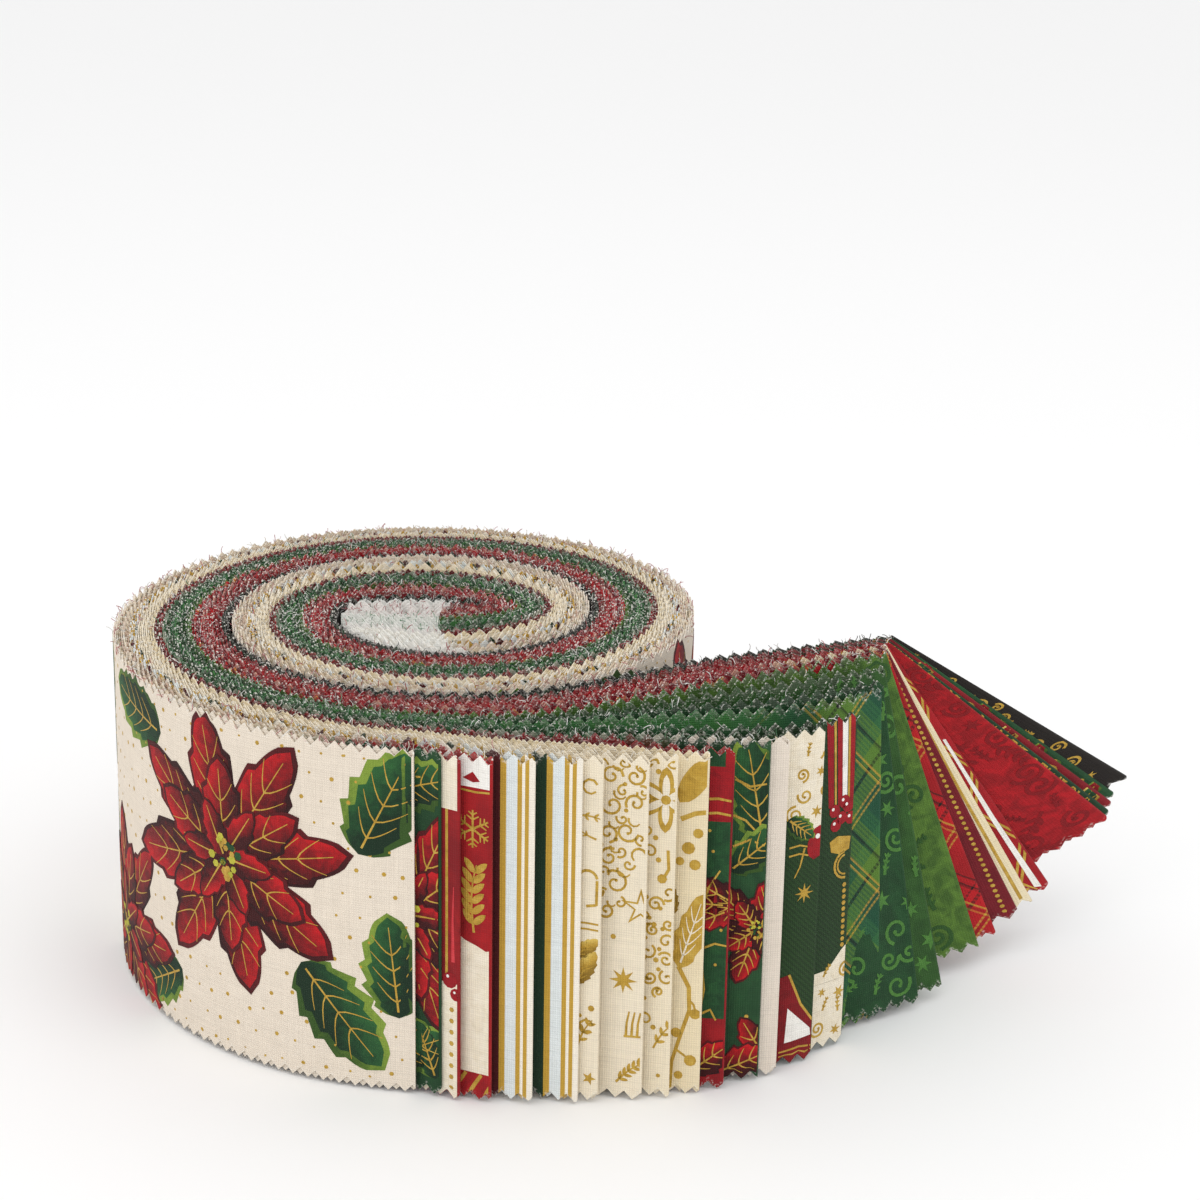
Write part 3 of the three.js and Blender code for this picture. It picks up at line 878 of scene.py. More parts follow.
def flowerShapes(x, y, radius, turn, level, dice, whorls=bloomShape["whorls"]):
    # whorls of pointed, lobed petals round a cluster of stamens
    for ring, (count, reach, width) in enumerate(whorls):
        for i in range(count):
            angle = math.radians(turn + bloomShape["whorlTurn"] * ring + 360 * i / count)
            size = radius * reach * dice.uniform(0.9, 1.06)
            yield from petalShapes(x, y, angle, size, radius * width * dice.uniform(0.92, 1.08),
                                   level + ring * 6 + (i % 2) * 3, bloomShape["veins"][ring])
    for i in range(bloomShape["stamens"]):
        reach = radius * bloomShape["stamenReach"] * math.sqrt(dice.random())
        angle = dice.uniform(0, fullTurn)
        ink = dice.choice(bloomShape["stamenInks"])
        size = radius * dice.uniform(*bloomShape["stamenSize"])
        spot = (x + reach * math.cos(angle), y + reach * math.sin(angle))
        yield dotShape(*spot, size, level + 19 + i % 2, 6, ink)


def sprigShapes(x, y, angle, length, level=0, thick=0.4, pairs=4, ink="inkGold"):
    # a bent twig with small leaves in pairs
    place = (x, y, math.radians(angle))
    t = np.linspace(0, 1, 7)
    stem = np.stack([t * length, np.sin(t * 2.4) * length * 0.1], axis=1)
    yield strokeShape(turnedBy(stem, *place), thick, 0.5, level, ink)
    for pair in range(pairs):
        at = (pair + 0.8) / (pairs + 0.6)
        foot = (at * length, math.sin(at * 2.4) * length * 0.1)
        for side in (-1, 1):
            leaf = turnedBy(leafLoop(length * 0.26, length * 0.11, 0, 0.7, 7), *foot, side * 0.75)
            yield loopShape(turnedBy(leaf, *place), level, ink)


def scatterShapes(dice, left, right, spacing, low=2.0, high=62.0, thick=0.42, level=0, ink="inkGold"):
    # filling of curls, small leaves and stars on a loose grid
    for row in range(int((high - low) / spacing)):
        for column in range(max(1, int((right - left) / spacing))):
            x = left + (column + 0.5 + dice.uniform(-0.25, 0.25) + 0.4 * (row % 2)) * spacing
            y = low + (row + 0.5 + dice.uniform(-0.2, 0.2)) * spacing
            kind, size = dice.random(), spacing * dice.uniform(0.36, 0.5)
            if kind < 0.5:
                yield from scrollShapes(x, y, size, dice.uniform(1.1, 1.6), dice.uniform(0, 360),
                                        dice.choice((-1, 1)), thick, level, ink)
            elif kind < 0.8:
                yield from sprigShapes(x - size / 2, y, dice.uniform(20, 120), size * 1.7,
                                       level, thick, 3, ink)
            else:
                yield starShape(x, y, size * 0.75, 6, 0.4, level, dice.uniform(0, 60), ink)


def beadShapes(start, end, pitch, radius, level=0):
    start, end = np.array(start, float), np.array(end, float)
    count = int(np.linalg.norm(end - start) / pitch) + 1
    for i in range(count):
        yield dotShape(*(start + (end - start) * i / max(1, count - 1)), radius, level, 6)


def clipLoop(loop, low, high):
    # cuts the loop to a box, one side at a time
    for axis, limit, sign in ((0, low[0], 1), (0, high[0], -1), (1, low[1], 1), (1, high[1], -1)):
        kept = []
        for i in range(len(loop)):
            a, b = loop[i - 1], loop[i]
            da, db = (a[axis] - limit) * sign, (b[axis] - limit) * sign
            if (da >= 0) != (db >= 0):
                kept.append(a + (b - a) * (da / (da - db)))
            if db >= 0:
                kept.append(b)
        loop = np.array(kept)
        if len(loop) < 3:
            return None
    return loop


def insideLoop(points, loop):
    x, y = points[:, 0:1], points[:, 1:2]
    a, b = loop, np.roll(loop, -1, axis=0)
    spans = (a[:, 1] > y) != (b[:, 1] > y)
    rise = np.where(b[:, 1] == a[:, 1], 1e-9, b[:, 1] - a[:, 1])
    return (np.sum(spans & (x < a[:, 0] + (y - a[:, 1]) * (b[:, 0] - a[:, 0]) / rise), axis=1) % 2) == 1


def refineLoop(loop, low, high, phase):
    # extra points on long sides, and one at each tooth tip and root along the pinked edges
    half = rollShape["toothPitch"] / 2
    refined = []
    for i in range(len(loop)):
        a, b = loop[i - 1], loop[i]
        onEdge = any(abs(a[1] - y) < 1e-6 and abs(b[1] - y) < 1e-6 for y in (low[1], high[1]))
        if onEdge:
            left, right = sorted((a[0], b[0]))
            first, last = math.ceil((left + phase) / half), math.floor((right + phase) / half)
            marks = np.arange(first, last + 1) * half - phase
            marks = marks[(marks > left + 1e-4) & (marks < right - 1e-4)]
            marks = marks if b[0] > a[0] else marks[::-1]
            refined += [(x, a[1]) for x in marks]
        else:
            steps = int(max(abs(b[0] - a[0]) / inkShape["gridAlong"], abs(b[1] - a[1]) / inkShape["gridUp"]))
            refined += [tuple(a + (b - a) * (j + 1) / (steps + 1)) for j in range(steps)]
        refined.append(tuple(b))
    return np.array(refined)


def tileLoop(loop):
    # triangles that fill the loop, cut finely along the strip so that they follow its bends
    stretch = np.array((inkShape["gridUp"] / inkShape["gridAlong"], 1.0))
    low, high = loop.min(axis=0), loop.max(axis=0)
    points = loop
    if high[0] - low[0] > 2 * inkShape["gridAlong"] and high[1] - low[1] > inkShape["gridLeast"]:
        xs = np.arange(low[0] + inkShape["gridStart"][0], high[0], inkShape["gridAlong"])
        ys = np.arange(low[1] + inkShape["gridStart"][1], high[1], inkShape["gridUp"])
        grid = np.stack(np.meshgrid(xs, ys), axis=-1).reshape(-1, 2)
        grid = grid[insideLoop(grid, loop)]
        if len(grid):
            gap = np.abs((grid[:, None] - loop[None]) * stretch).max(axis=2).min(axis=1)
            grid = grid[gap > inkShape["gridClear"]]
            points = np.concatenate([loop, grid])
    scaled = [Vector(p) for p in points * stretch]
    made = delaunay_2d_cdt(scaled, [], [list(range(len(loop)))], 1, 1e-5, False)
    points = np.array([tuple(p) for p in made[0]]) / stretch
    tiles = [tuple(face) for face in made[2]]
    if not tiles:
        return points, tiles
    # the call also fills the hollows of a lobed outline, so tiles outside it are dropped
    within = insideLoop(np.array([points[list(tile)].mean(axis=0) for tile in tiles]), loop)
    return points, [tile for tile, kept in zip(tiles, within) if kept]


inkRows = {  # ink: dark, middle and light tone, metal, roughness
    "inkGold": ("8F6F20", "BC9636", "D8BA5E", 0.2, 0.55),
    "inkWine": ("2A0407", "3C070B", "560A10", 0.0, 0.85),
    "inkPetal": ("3A0508", "7E0B12", "BE121A", 0.0, 0.85),
    "inkRed": ("6E0A10", "94101A", "B0151C", 0.0, 0.85),
    "inkDeepRed": ("5A0A0F", "7C0F16", "90141B", 0.0, 0.85),
    "inkOlive": ("33501C", "587428", "7E9638", 0.0, 0.85),
    "inkPine": ("0F2A17", "1B4424", "2B5E30", 0.0, 0.85),
    "inkStamen": ("7D8A22", "B7B23A", "DCCB58", 0.0, 0.8),
    "inkCream": ("DCCDB0", "EADFC9", "F2EADA", 0.0, 0.85),
    "inkWhite": ("DCD8D0", "F0EDE6", "F8F6F1", 0.0, 0.85),
    "inkBlack": ("0C0A09", "171311", "241E1A", 0.0, 0.85),
    "inkMint": ("3A6A2E", "487933", "58893E", 0.0, 0.85),
    "inkFern": ("24461C", "2C5220", "376128", 0.0, 0.85),
    "inkRose": ("C22A33", "CC3A40", "D8555A", 0.0, 0.85),
    "inkRuby": ("6D0B12", "7F0E15", "930F18", 0.0, 0.85),
}


def makeInk(name):
    dark, middle, light, metal, roughness = inkRows[name]
    material, tree = newMaterial(name)
    u, v = weavePlaces(tree)
    tone = addNode(tree, "ShaderNodeAttribute", attribute_name="tone").outputs["Fac"]
    brush = addNoise(tree, stretched(tree, u, v, 0.5, 0.5), 1.0, 4.0, 0.6, 0.8)
    tone = addMath(tree, "ADD", tone, addMath(tree, "MULTIPLY_ADD", brush, 0.9, -0.45))
    shade = addRamp(tree, tone, [(0.12, toLinear(dark)), (0.5, toLinear(middle)), (0.9, toLinear(light))])
    finishCotton(tree, shade, u, v, metal=metal, roughness=roughness)
    return material


inkMaterials = {name: makeInk(name) for name in inkRows}


def printShapes(name, index, shapes, left, right):
    # lays the loops on one strip between left and right, as films along its own path
    path = stripPaths[index]
    width, half = rollShape["clothWidth"], rollShape["clothThickness"] / 2
    pitch, depth = rollShape["toothPitch"] / 2, rollShape["toothDepth"]
    low, high = (left, inkShape["edgeClear"]), (right, width - inkShape["edgeClear"])
    flat, lifts, tones, faces, inks, start = [], [], [], [], [], 0
    used = sorted({shape["ink"] for shape in shapes})
    for shape in shapes:
        loop, ribs = shape["loop"], shape.get("ribs")
        if ribs and np.all(loop > low) and np.all(loop < high):
            last = 2 * ribs - 1
            points, tiles = loop, [(i, i + 1, last - i - 1, last - i) for i in range(ribs - 1)]
        else:
            loop = clipLoop(loop, low, high)
            if loop is None:
                continue
            points, tiles = tileLoop(refineLoop(loop, low, high, path["phase"]))
        count = len(points)
        if not tiles:
            continue
        tone = np.full(count, 0.5)
        if shape["root"] is not None:
            root, axis = np.array(shape["root"]), np.array(shape["tip"]) - np.array(shape["root"])
            tone = np.clip((points - root) @ axis / (axis @ axis), 0, 1)
            sideways = (points - root) @ np.array((-axis[1], axis[0])) / (axis @ axis)
            base, gain = inkShape["toneAlong"]
            least, most, swing = inkShape["toneAcross"]
            tone = base + gain * tone + swing * np.clip(sideways, least, most)
        edges = {edge: True for face in tiles for edge in zip(face, face[1:] + face[:1])}
        rim = [(a, b) for a, b in edges if (b, a) not in edges]
        faces += [tuple(start + i for i in face) for face in tiles]
        faces += [tuple(start + count + i for i in reversed(face)) for face in tiles]
        faces += [(start + b, start + a, start + count + a, start + count + b) for a, b in rim]
        inks += [used.index(shape["ink"])] * (2 * len(tiles) + len(rim))
        lift = inkShape["film"] + inkShape["levelStep"] * shape["level"]
        flat += [points, points]
        lifts += [np.full(count, half + lift), np.full(count, half - inkShape["sunk"])]
        tones += [tone, tone]
        start += 2 * count
    flat, lifts = np.concatenate(flat), np.concatenate(lifts)
    # near the pinked edges the print follows the teeth
    notch = pitch - np.abs((flat[:, 0] + path["phase"]) % (2 * pitch) - pitch)
    notch *= depth / pitch
    band = inkShape["toothBand"]
    y = flat[:, 1] - notch * np.clip((flat[:, 1] - high[1] + band) / band, 0, 1)
    y = y + notch * np.clip((low[1] + band - flat[:, 1]) / band, 0, 1)
    spine, side, down = (bothWays(path[key], path["along"], flat[:, 0]) for key in ("spine", "side", "down"))
    placed = spine + side * lifts[:, None] + down * (width - y)[:, None]
    mesh = bpy.data.meshes.new(name)
    mesh.from_pydata((placed * mm).tolist(), [], faces)
    mesh.attributes.new("tone", "FLOAT", "POINT").data.foreach_set("value", np.concatenate(tones))
    corners = np.zeros(len(mesh.loops), int)
    mesh.loops.foreach_get("vertex_index", corners)
    places = np.stack([flat[:, 0], y], axis=1)[corners] / width
    mesh.uv_layers.new(name="UVMap").data.foreach_set("uv", places.ravel())
    for ink in used:
        mesh.materials.append(inkMaterials[ink])
    mesh.polygons.foreach_set("material_index", inks)
    mesh.shade_smooth()
    mesh.set_sharp_from_angle(angle=math.radians(inkShape["sharpAngle"]))
    return linkObject(name, mesh)


# The prints, one function a strip. The large flower print repeats round the outside of the roll
flowerPrint = {  # mm back from the fold and up from the lower edge
    "repeat": 86.0,
    "repeats": 5,
    "flowers": ((-37, 38, 26), (-76, 11, 24)),
    "leaves": ((-21, 22, -50, 23, 13), (-10, 44, 64, 22, 13), (-55, 56, 172, 22, 12),
               (-50, 12, -150, 18, 10), (-88, 38, 118, 24, 13), (-3, 14, 96, 19, 11)),
    "dotRows": 15,
    "dotColumns": 21,
    "dotRise": (2.5, 4.2),
    "dotShift": 0.7,
    "dotSizes": (0.26, 0.26, 0.42),
    "dotClear": 0.8,        # share of a flower's radius that the dots leave free
}


def printFlowers(dice):
    repeat, columns, shift = flowerPrint["repeat"], flowerPrint["dotColumns"], flowerPrint["dotShift"]
    lowest, rise = flowerPrint["dotRise"]
    for i in range(flowerPrint["repeats"]):
        x = -repeat * i
        spots = [(x + fx, fy, radius) for fx, fy, radius in flowerPrint["flowers"]]
        for dx, y, angle, length, width in flowerPrint["leaves"]:
            yield from leafShapes(x + dx, y, angle, length, width)
        for j, spot in enumerate(spots):
            yield from flowerShapes(*spot, 12 + 31 * i + 40 * j, 3, dice)
        for row in range(flowerPrint["dotRows"]):
            for column in range(columns):
                dx = x - repeat * (column + 0.5 * (row % 2)) / columns + dice.uniform(-shift, shift)
                dy = lowest + rise * row + dice.uniform(-shift, shift)
                if all(math.hypot(dx - fx, dy - fy) > radius * flowerPrint["dotClear"]
                       for fx, fy, radius in spots):
                    yield dotShape(dx, dy, dice.choice(flowerPrint["dotSizes"]), 0, 6)


goldInks = ("inkGold",) * 3


def printGreenFlowers(dice):
    yield from flowerShapes(-7, 33, 21, 20, 3, dice)
    yield from eachShape(leafShapes, ((-10, 55, 20, 14, 9), (-12, 4, 30, 15, 9), (-1, 3, 110, 11, 7)))
    yield strokeShape([(-5, 58.5), (-3, 58.8), (-0.5, 58.2)])


def printCreamRed(dice):
    yield boxShape("inkCream", -9, 54, 1, 65)
    yield boxShape("inkCream", -9, -1, 1, 22)
    yield strokeShape([(-2.55, 22), (-2.5, 36), (-2.5, 54)], 0.5, 1.0, 1)
    yield strokeShape([(-1.2, 26), (-1.3, 34), (-1.1, 40)], 0.7, 0.2, 0, "inkRose")
    yield from eachShape(dotShape, (
        (-1.9, 22.5, 1.5, 2, 10, "inkRed"), (-0.6, 20.0, 1.2, 3, 10, "inkRed"),
        (-2.3, 23.2, 0.3, 4, 7, "inkWhite"), (-0.9, 20.4, 0.25, 4, 7, "inkWhite")))
    yield from beadShapes((-1.6, 2), (-1.5, 17), 1.9, 0.5, 1)


def printRedSnow(dice):
    yield boxShape("inkWhite", -12, 58, 1, 65)
    yield loopShape([(-12, 5), (1, 5), (1, 29), (-1, 28.4), (-3, 29.2), (-5, 29.8), (-7, 31), (-12, 31)],
                    0, "inkCream")
    yield strokeShape([(-9, 57.5), (-3, 57.2), (1, 57.6)], 0.35, 1.0, 1)
    yield from snowShapes(-3.6, 50.5, 3.4, 0.4, 1)
    yield from sprigShapes(-3.3, 31.5, 84, 12.5, 1, 0.45, 6)
    yield loopShape([(-5.5, 59.5), (-3.6, 60.8), (-2.2, 59.2), (-3.6, 58.9)], 1, "inkRed")
    for i in range(5):
        foot, ink = -7 + 1.5 * i, ("inkGold", "inkRed")[i % 2]
        yield strokeShape([(foot, 0), (foot + 0.8, 2.6), (foot + 2.2, 4.8)], 0.8, 0.8, 1, ink)
    yield strokeShape([(-6.6, 12), (-6.2, 18), (-6.5, 24)], 0.8, 0.6, 1)


def printSparse(dice):
    yield from leafShapes(-4.6, 27.0, 40, 5.5, 2.6, 0, goldInks, 2)
    for y in (58.4, 14.0):
        yield strokeShape(arcPoints(-2.2, y, 1.3, 20, 320), 0.42, 0.8)
    yield from eachShape(sprigShapes, ((-4.4, 53, -8, 4.2, 0, 0.4, 2), (-1.0, 49, 150, 3.4, 0, 0.4, 1)))
    yield strokeShape(arcPoints(-2.4, 41.5, 1.7, 200, 10, 9), 0.5, 1.0)
    yield strokeShape([(-0.75, 41.5), (-0.8, 37.0), (-2.6, 36.6)], 0.5, 1.0)
    for y in (33.4, 32.3):
        yield strokeShape([(-4.6, y), (-2.5, y + 0.1), (0, y)], 0.35, 1.0)
    yield from leafShapes(-4.2, 22, 62, 7, 3.2, 0, goldInks, 2)
    yield from sprigShapes(-3.8, 10, 60, 6, 0, 0.4, 3)
    yield starShape(-1.6, 4.2, 1.3, 5)
    yield from eachShape(dotShape, ((-1.4, 17.6, 0.6), (-3.4, 16.0, 0.4)))


def printScrolls(dice):
    large = ((-6.4, 60, 2.0), (-2.4, 60.2, 1.9), (-6.2, 54.8, 2.2), (-2.2, 55.4, 1.8), (-6.9, 49.6, 1.8),
             (-3.6, 50.2, 2.1), (-6.6, 45.2, 1.8), (-5.4, 40.6, 2.4), (-6.9, 35.4, 1.5))
    small = ((-8.2, 62), (-4.4, 62.6), (-4.4, 57.4), (-0.9, 57.6), (-4.4, 52.4), (-8.4, 47.2),
             (-4.6, 46.4), (-1.2, 49.0), (-7.6, 42.6), (-3.2, 44.2), (-7.8, 38.4), (-4.6, 37.0))
    for i, (x, y, size) in enumerate(large):
        yield from scrollShapes(x, y, size, 1.15, 70 * i, (-1) ** i, 0.48)
        yield dotShape(x - size * 0.9, y - size * 0.8, 0.4)
        yield strokeShape(arcPoints(x + size * 0.6, y + size, size * 0.5, 160, 330, 6), 0.42, 0.6)
    for i, (x, y) in enumerate(small):
        yield from scrollShapes(x, y, 1.15, 0.9, 40 * i, (-1) ** i, 0.42)
    yield starShape(-0.9, 36.4, 3.7, 5, 0.34, 0, 90)
    yield starShape(-0.9, 36.4, 2.5, 5, 0.34, 1, 90, "inkCream")
    yield starShape(-3.7, 22.6, 2.5, 8, 0.4)
    yield dotShape(-5.6, 30.6, 0.5)
    yield strokeShape(arcPoints(-1.4, 46.0, 1.3, 20, 230, 7), 0.5, 0.6)
    for i in range(3):
        yield strokeShape([(-3.0 + i, 12.2), (-2.9 + i, 14.6), (-2.5 + i, 16.8)], 0.5, 0.6)
    yield strokeShape([(-3.4, 12.0), (-0.4, 12.2)], 0.4, 1.0)
    yield from sprigShapes(-4.6, 3.0, 38, 6.2, 0, 0.45, 5)


def printStar(dice):
    large = ((-3.2, 36.4, 1.5), (-0.9, 32.8, 1.3), (-3.6, 31.6, 1.2), (-1.2, 26.2, 1.5), (-3.9, 22.6, 1.3),
             (-2.4, 20.0, 1.1))
    small = ((-4.8, 62), (-0.9, 62.4), (-5.0, 50.0), (-4.4, 46.0), (-1.0, 38.6), (-4.9, 34.0),
             (-1.2, 29.6), (-4.4, 27.4), (-0.9, 22.8), (-4.6, 14.6))
    for i in range(6):
        place = (-1.9, 55.6, math.radians(60 * i + 30))
        yield loopShape(turnedBy(leafLoop(6.0, 2.6, 0, 0.6, 9), *place))
        yield loopShape(turnedBy(leafLoop(4.6, 1.3, 0, 0.6, 7), *place), 1, "inkCream")
    yield dotShape(-1.9, 55.6, 0.9, 2, 8)
    yield strokeShape([(-1.3, 46.5), (-1.1, 43.0), (-1.8, 41.6)], 0.55, 1.0)
    yield dotShape(-2.2, 41.2, 0.9)
    for i, (x, y, size) in enumerate(large):
        yield from scrollShapes(x, y, size, 1.3, 50 * i, (-1) ** i, 0.45)
    for i, (x, y) in enumerate(small):
        yield from scrollShapes(x, y, 1.5, 1.0, 60 * i, (-1) ** i, 0.44)
        yield dotShape(x + 1.5, y - 1.4, 0.5)
    for i in range(11):
        yield dotShape(-4.6 + 2.4 * (i % 2) + dice.uniform(-0.4, 0.4), 18.6 + 1.9 * i, 0.42)
    yield from sprigShapes(-3.0, 9.2, 52, 6, 0, 0.42, 3)
    yield dotShape(-2.0, 4.0, 0.4)


def printLeaves(dice):
    steep = math.radians(74)
    yield loopShape(turnedBy(leafLoop(10.5, 4.2, 0, 0.6, 11), -4.9, 54.6, math.radians(58)))
    yield strokeShape([(-4.6, 51.6), (-2.2, 52.8), (0, 53.2)], 0.9, 0.9)
    yield from eachShape(dotShape, (
        (-3.2, 46.4, 1.15), (-1.6, 49.2, 0.9), (-4.6, 43.9, 0.8), (-2.0, 43.4, 1.0),
        (-1.2, 15.4, 1.0), (-4.4, 11.6, 0.95), (-1.8, 6.4, 1.1), (-3.8, 3.4, 0.8)), 0, 9)
    yield loopShape(turnedBy(leafLoop(15.0, 5.4, 4, 0.62, 15), -4.2, 23.8, steep))
    yield from veinShapes(14, 5, (-4.2, 24.2, steep), 4, 0.35, 1, "inkCream")
    stem = [(-4.3, 24.2), (-2.4, 20.4), (-2.2, 16.0), (-3.6, 11.2), (-5.0, 6.0), (-5.2, 0.5)]
    yield strokeShape(stem, 0.8, 0.7)
    yield strokeShape([(-2.3, 18.0), (-1.5, 17.2), (-1.1, 15.8)], 0.45, 0.8)
    yield strokeShape([(-4.4, 8.4), (-3.0, 7.4), (-1.8, 6.4)], 0.45, 0.8)
    yield from leafShapes(-5.4, 34, 100, 6, 2.4, 0, goldInks, 1)


def printRedGreen(dice):
    yield boxShape("inkRed", -8, 50.5, 1, 60.5)
    yield boxShape("inkPine", -8, 13.5, 1, 50.5)
    yield boxShape("inkPine", -5, 60.5, -1.6, 65)
    for y in (54.4, 51.8):
        yield strokeShape([(-5.6, y), (-2.6, y + 0.3), (0.2, y - 0.2)], 0.5, 0.8, 1)
    for angle in (150, 178, 206):
        yield from petalShapes(1.5, 35.0, math.radians(angle), 9.5, 5.0, 1 + (angle % 4), 2)
    for points in ([(-4.6, 33), (-3.9, 38), (-1.9, 41.5)], [(-4.9, 26.6), (-2.4, 27.8), (-0.2, 27.4)],
                   [(-5.0, 12), (-4.0, 19), (-4.7, 26)], [(-5, 14), (-2.8, 15.2), (-1.8, 13.2)]):
        yield strokeShape(points, 0.45, 0.7, 4)
    yield from eachShape(dotShape, ((-3.2, 45), (-1.4, 30.4), (-3.9, 48.8), (-2.2, 23.8)), 0.3, 1)
    yield from petalShapes(-6, 3.0, math.radians(40), 9, 6, 5, 3)


def printGreenRed(dice):
    yield from leafShapes(-1.0, 46, 100, 19, 10)
    yield from leafShapes(-6.5, 40, 40, 13, 7, 3)
    yield from flowerShapes(-1.4, 29, 11, 12, 6, dice, ((6, 1.0, 0.5), (4, 0.6, 0.42)))
    for points in ([(-6.0, 57), (-3.4, 55.6), (-0.6, 56)], [(-6.0, 44.6), (-3.2, 45.8), (-0.6, 44.6)],
                   [(-6.2, 50.4), (-4, 49.4), (-2.4, 47.6)]):
        yield strokeShape(points, 0.45, 0.7, 4)
    yield dotShape(-2.6, 12.2, 0.4, 1)
    yield from petalShapes(-7, 1.5, math.radians(24), 10, 7, 5, 3)
    yield from petalShapes(1, 4, math.radians(120), 9, 5, 2, 2)


def printTwill(dice):
    banner = [(-14, 47), (-7, 47.5), (-4, 45.5), (-2.4, 44.2), (1, 45), (1, 65), (-14, 65)]
    yield loopShape(banner, 0, "inkCream")
    yield from scatterShapes(dice, -7, 0.5, 3.6, 46, 63, 0.45, 1)
    yield from leafShapes(-7.0, 47.4, -38, 6.5, 4.0, 2)
    yield loopShape(turnedBy(leafLoop(6.4, 3.4, 0, 0.5, 11), -0.6, 45.4, math.radians(-100)), 3, "inkRed")
    yield dotShape(-1.0, 43.4, 0.5, 4, 7, "inkWhite")
    for y in (42.0, 40.4):
        yield strokeShape([(-6.6, y), (-4.6, y + 0.3), (-2.8, y - 0.3)], 0.35, 0.8, 2)
    yield strokeShape([(-3.6, 41.6), (-4.4, 38.2), (-5.4, 36.2)], 0.4, 0.5, 2)
    yield starShape(-3.3, 33.0, 1.9, 8, 0.35, 1)
    slope = [(-5.6, 17.6), (-3.0, 11.4), (-0.4, 7.8), (1, 7.4)]
    yield loopShape([(-8, 17)] + slope + [(1, -1), (-8, -1)], 1, "inkDeepRed")
    yield strokeShape(slope, 0.45, 1.0, 2)
    yield loopShape([(-5.6, 11), (-4, 9.4), (-0.8, 6.2), (-0.6, 4.8), (-6, 4.2)], 2, "inkWhite")
    for y in (2.4, 1.2):
        yield strokeShape([(-7, y), (-3, y + 0.6), (1, y)], 0.35, 1.0, 2)


def printRibbons(dice):
    yield boxShape("inkCream", -9, -1, 1, 13)
    yield loopShape([(-9, 12.9), (1, 12.9), (1, 20.5), (-1.4, 18.6), (-4.4, 15.4), (-9, 15.2)], 0, "inkCream")
    for i, (foot, ink, size) in enumerate((
            (-5.4, "inkRed", 1.5), (-4.4, "inkGold", 0.5), (-3.4, "inkRed", 1.2), (-2.3, "inkWhite", 1.3),
            (-1.4, "inkGold", 0.5), (-0.7, "inkRed", 1.1))):
        head = foot * 1.12 - 0.6
        yield strokeShape([(head, 65), ((head + foot) / 2, 56), (foot, 47)], size, 0.8, i % 3, ink)
    for x, y in ((-4.6, 46.2), (-2.9, 44.6), (-1.5, 46.6), (-4.2, 43.4), (-0.8, 44.2), (-2.4, 47.6)):
        yield dotShape(x, y, 1.25, 4, 9, "inkRed")
        yield dotShape(x - 0.4, y + 0.4, 0.32, 5, 7, "inkWhite")
    yield loopShape([(-5.4, 40.4), (-3.6, 41.2), (-0.6, 40.6), (-0.8, 38.2), (-3.0, 37.6), (-5.0, 38.4)], 2)
    for radius, thick in ((2.6, 0.5), (1.9, 0.35)):
        yield strokeShape(arcPoints(-1.4, 35.4, radius, 100, 270, 9), thick, 0.9, 2)
    yield from beadShapes((-1.5, 31.4), (-1.3, 19.6), 1.15, 0.46, 2)
    yield from scatterShapes(dice, -7.5, 0.5, 3.8, 1.5, 19, 0.5, 1)


def printMaroon(dice):
    for i in range(3):
        yield from beadShapes((-2 - 6 * i, 2), (-1.4 - 7 * i, 62), 1.25, 0.4, 1)
        yield strokeShape([(-4.5 - 6 * i, 1), (-4 - 6.6 * i, 30), (-4.4 - 7 * i, 63)], 0.35, 1.0, 1)


def printSliver(dice):
    yield strokeShape([(-1.4, 1), (-1.6, 30), (-1.2, 63)], 0.5, 1.0)
    yield strokeShape([(-3.2, 1), (-3.1, 30), (-3.3, 63)], 0.9, 1.0, 0, "inkRed")
    yield from scatterShapes(dice, -9, -4, 4, thick=0.4)


def printCheck(dice):
    for i in range(9):
        foot = -34 + 8.5 * i
        for lean in (-1, 1):
            for gap in (0, 0.9):
                line = [(foot + gap - 16 * lean, -4), (foot + gap, 32), (foot + gap + 16 * lean, 68)]
                yield strokeShape(line, 0.42, 1.0, 1 + (lean > 0))
    yield strokeShape([(-1.6, 1), (-1.7, 20), (-1.3, 40)], 0.9, 0.6, 3, "inkWhite")


def printRedTonal(dice):
    yield from scatterShapes(dice, -44, 0, 5.4, thick=0.75, ink="inkRuby")
    for i in range(26):
        x, y = dice.uniform(-42, -2), dice.uniform(3, 61)
        yield from sprigShapes(x, y, dice.uniform(0, 360), 7.5, 1, 0.6, 4, "inkRuby")


def printGoldScrolls(dice):
    yield from scatterShapes(dice, -9, 0, 3.0)
    for i in range(7):
        yield strokeShape([(-6, 2 + 9 * i), (-3, 5 + 9 * i), (0, 11 + 9 * i)], 0.4, 0.7, 1)
        yield dotShape(-1.8, 6 + 9 * i, 0.9, 2, 7, "inkRed")


def printRedLeaf(dice):
    for i in range(8):
        inks = ("inkGold", ("inkPine", "inkDeepRed")[i % 2], "inkGold")
        yield from leafShapes(-7, 2 + 8 * i, 30 + 20 * (i % 3), 9, 4.6, 3 * (i % 2), inks, 3)


def printBackLeaves(dice):
    for i in range(8):
        yield from leafShapes(-6, 3 + 8 * i, 20 + 25 * (i % 2), 7, 3.6, 0,
                              ("inkOlive", "inkRuby", "inkGold"), 2)
        yield dotShape(-1.4, 8 + 8 * i, 0.6, 1)


def printBlackGold(dice):
    yield from scatterShapes(dice, -10, 0, 2.8)
    yield from scatterShapes(dice, 0, 96, 5.0, thick=0.4)
    for i in range(9):
        yield from leafShapes(8 + 11 * i, dice.uniform(10, 46), dice.uniform(20, 160), 13, 6, 1,
                              ("inkGold", "inkBlack", "inkGold"), 3)


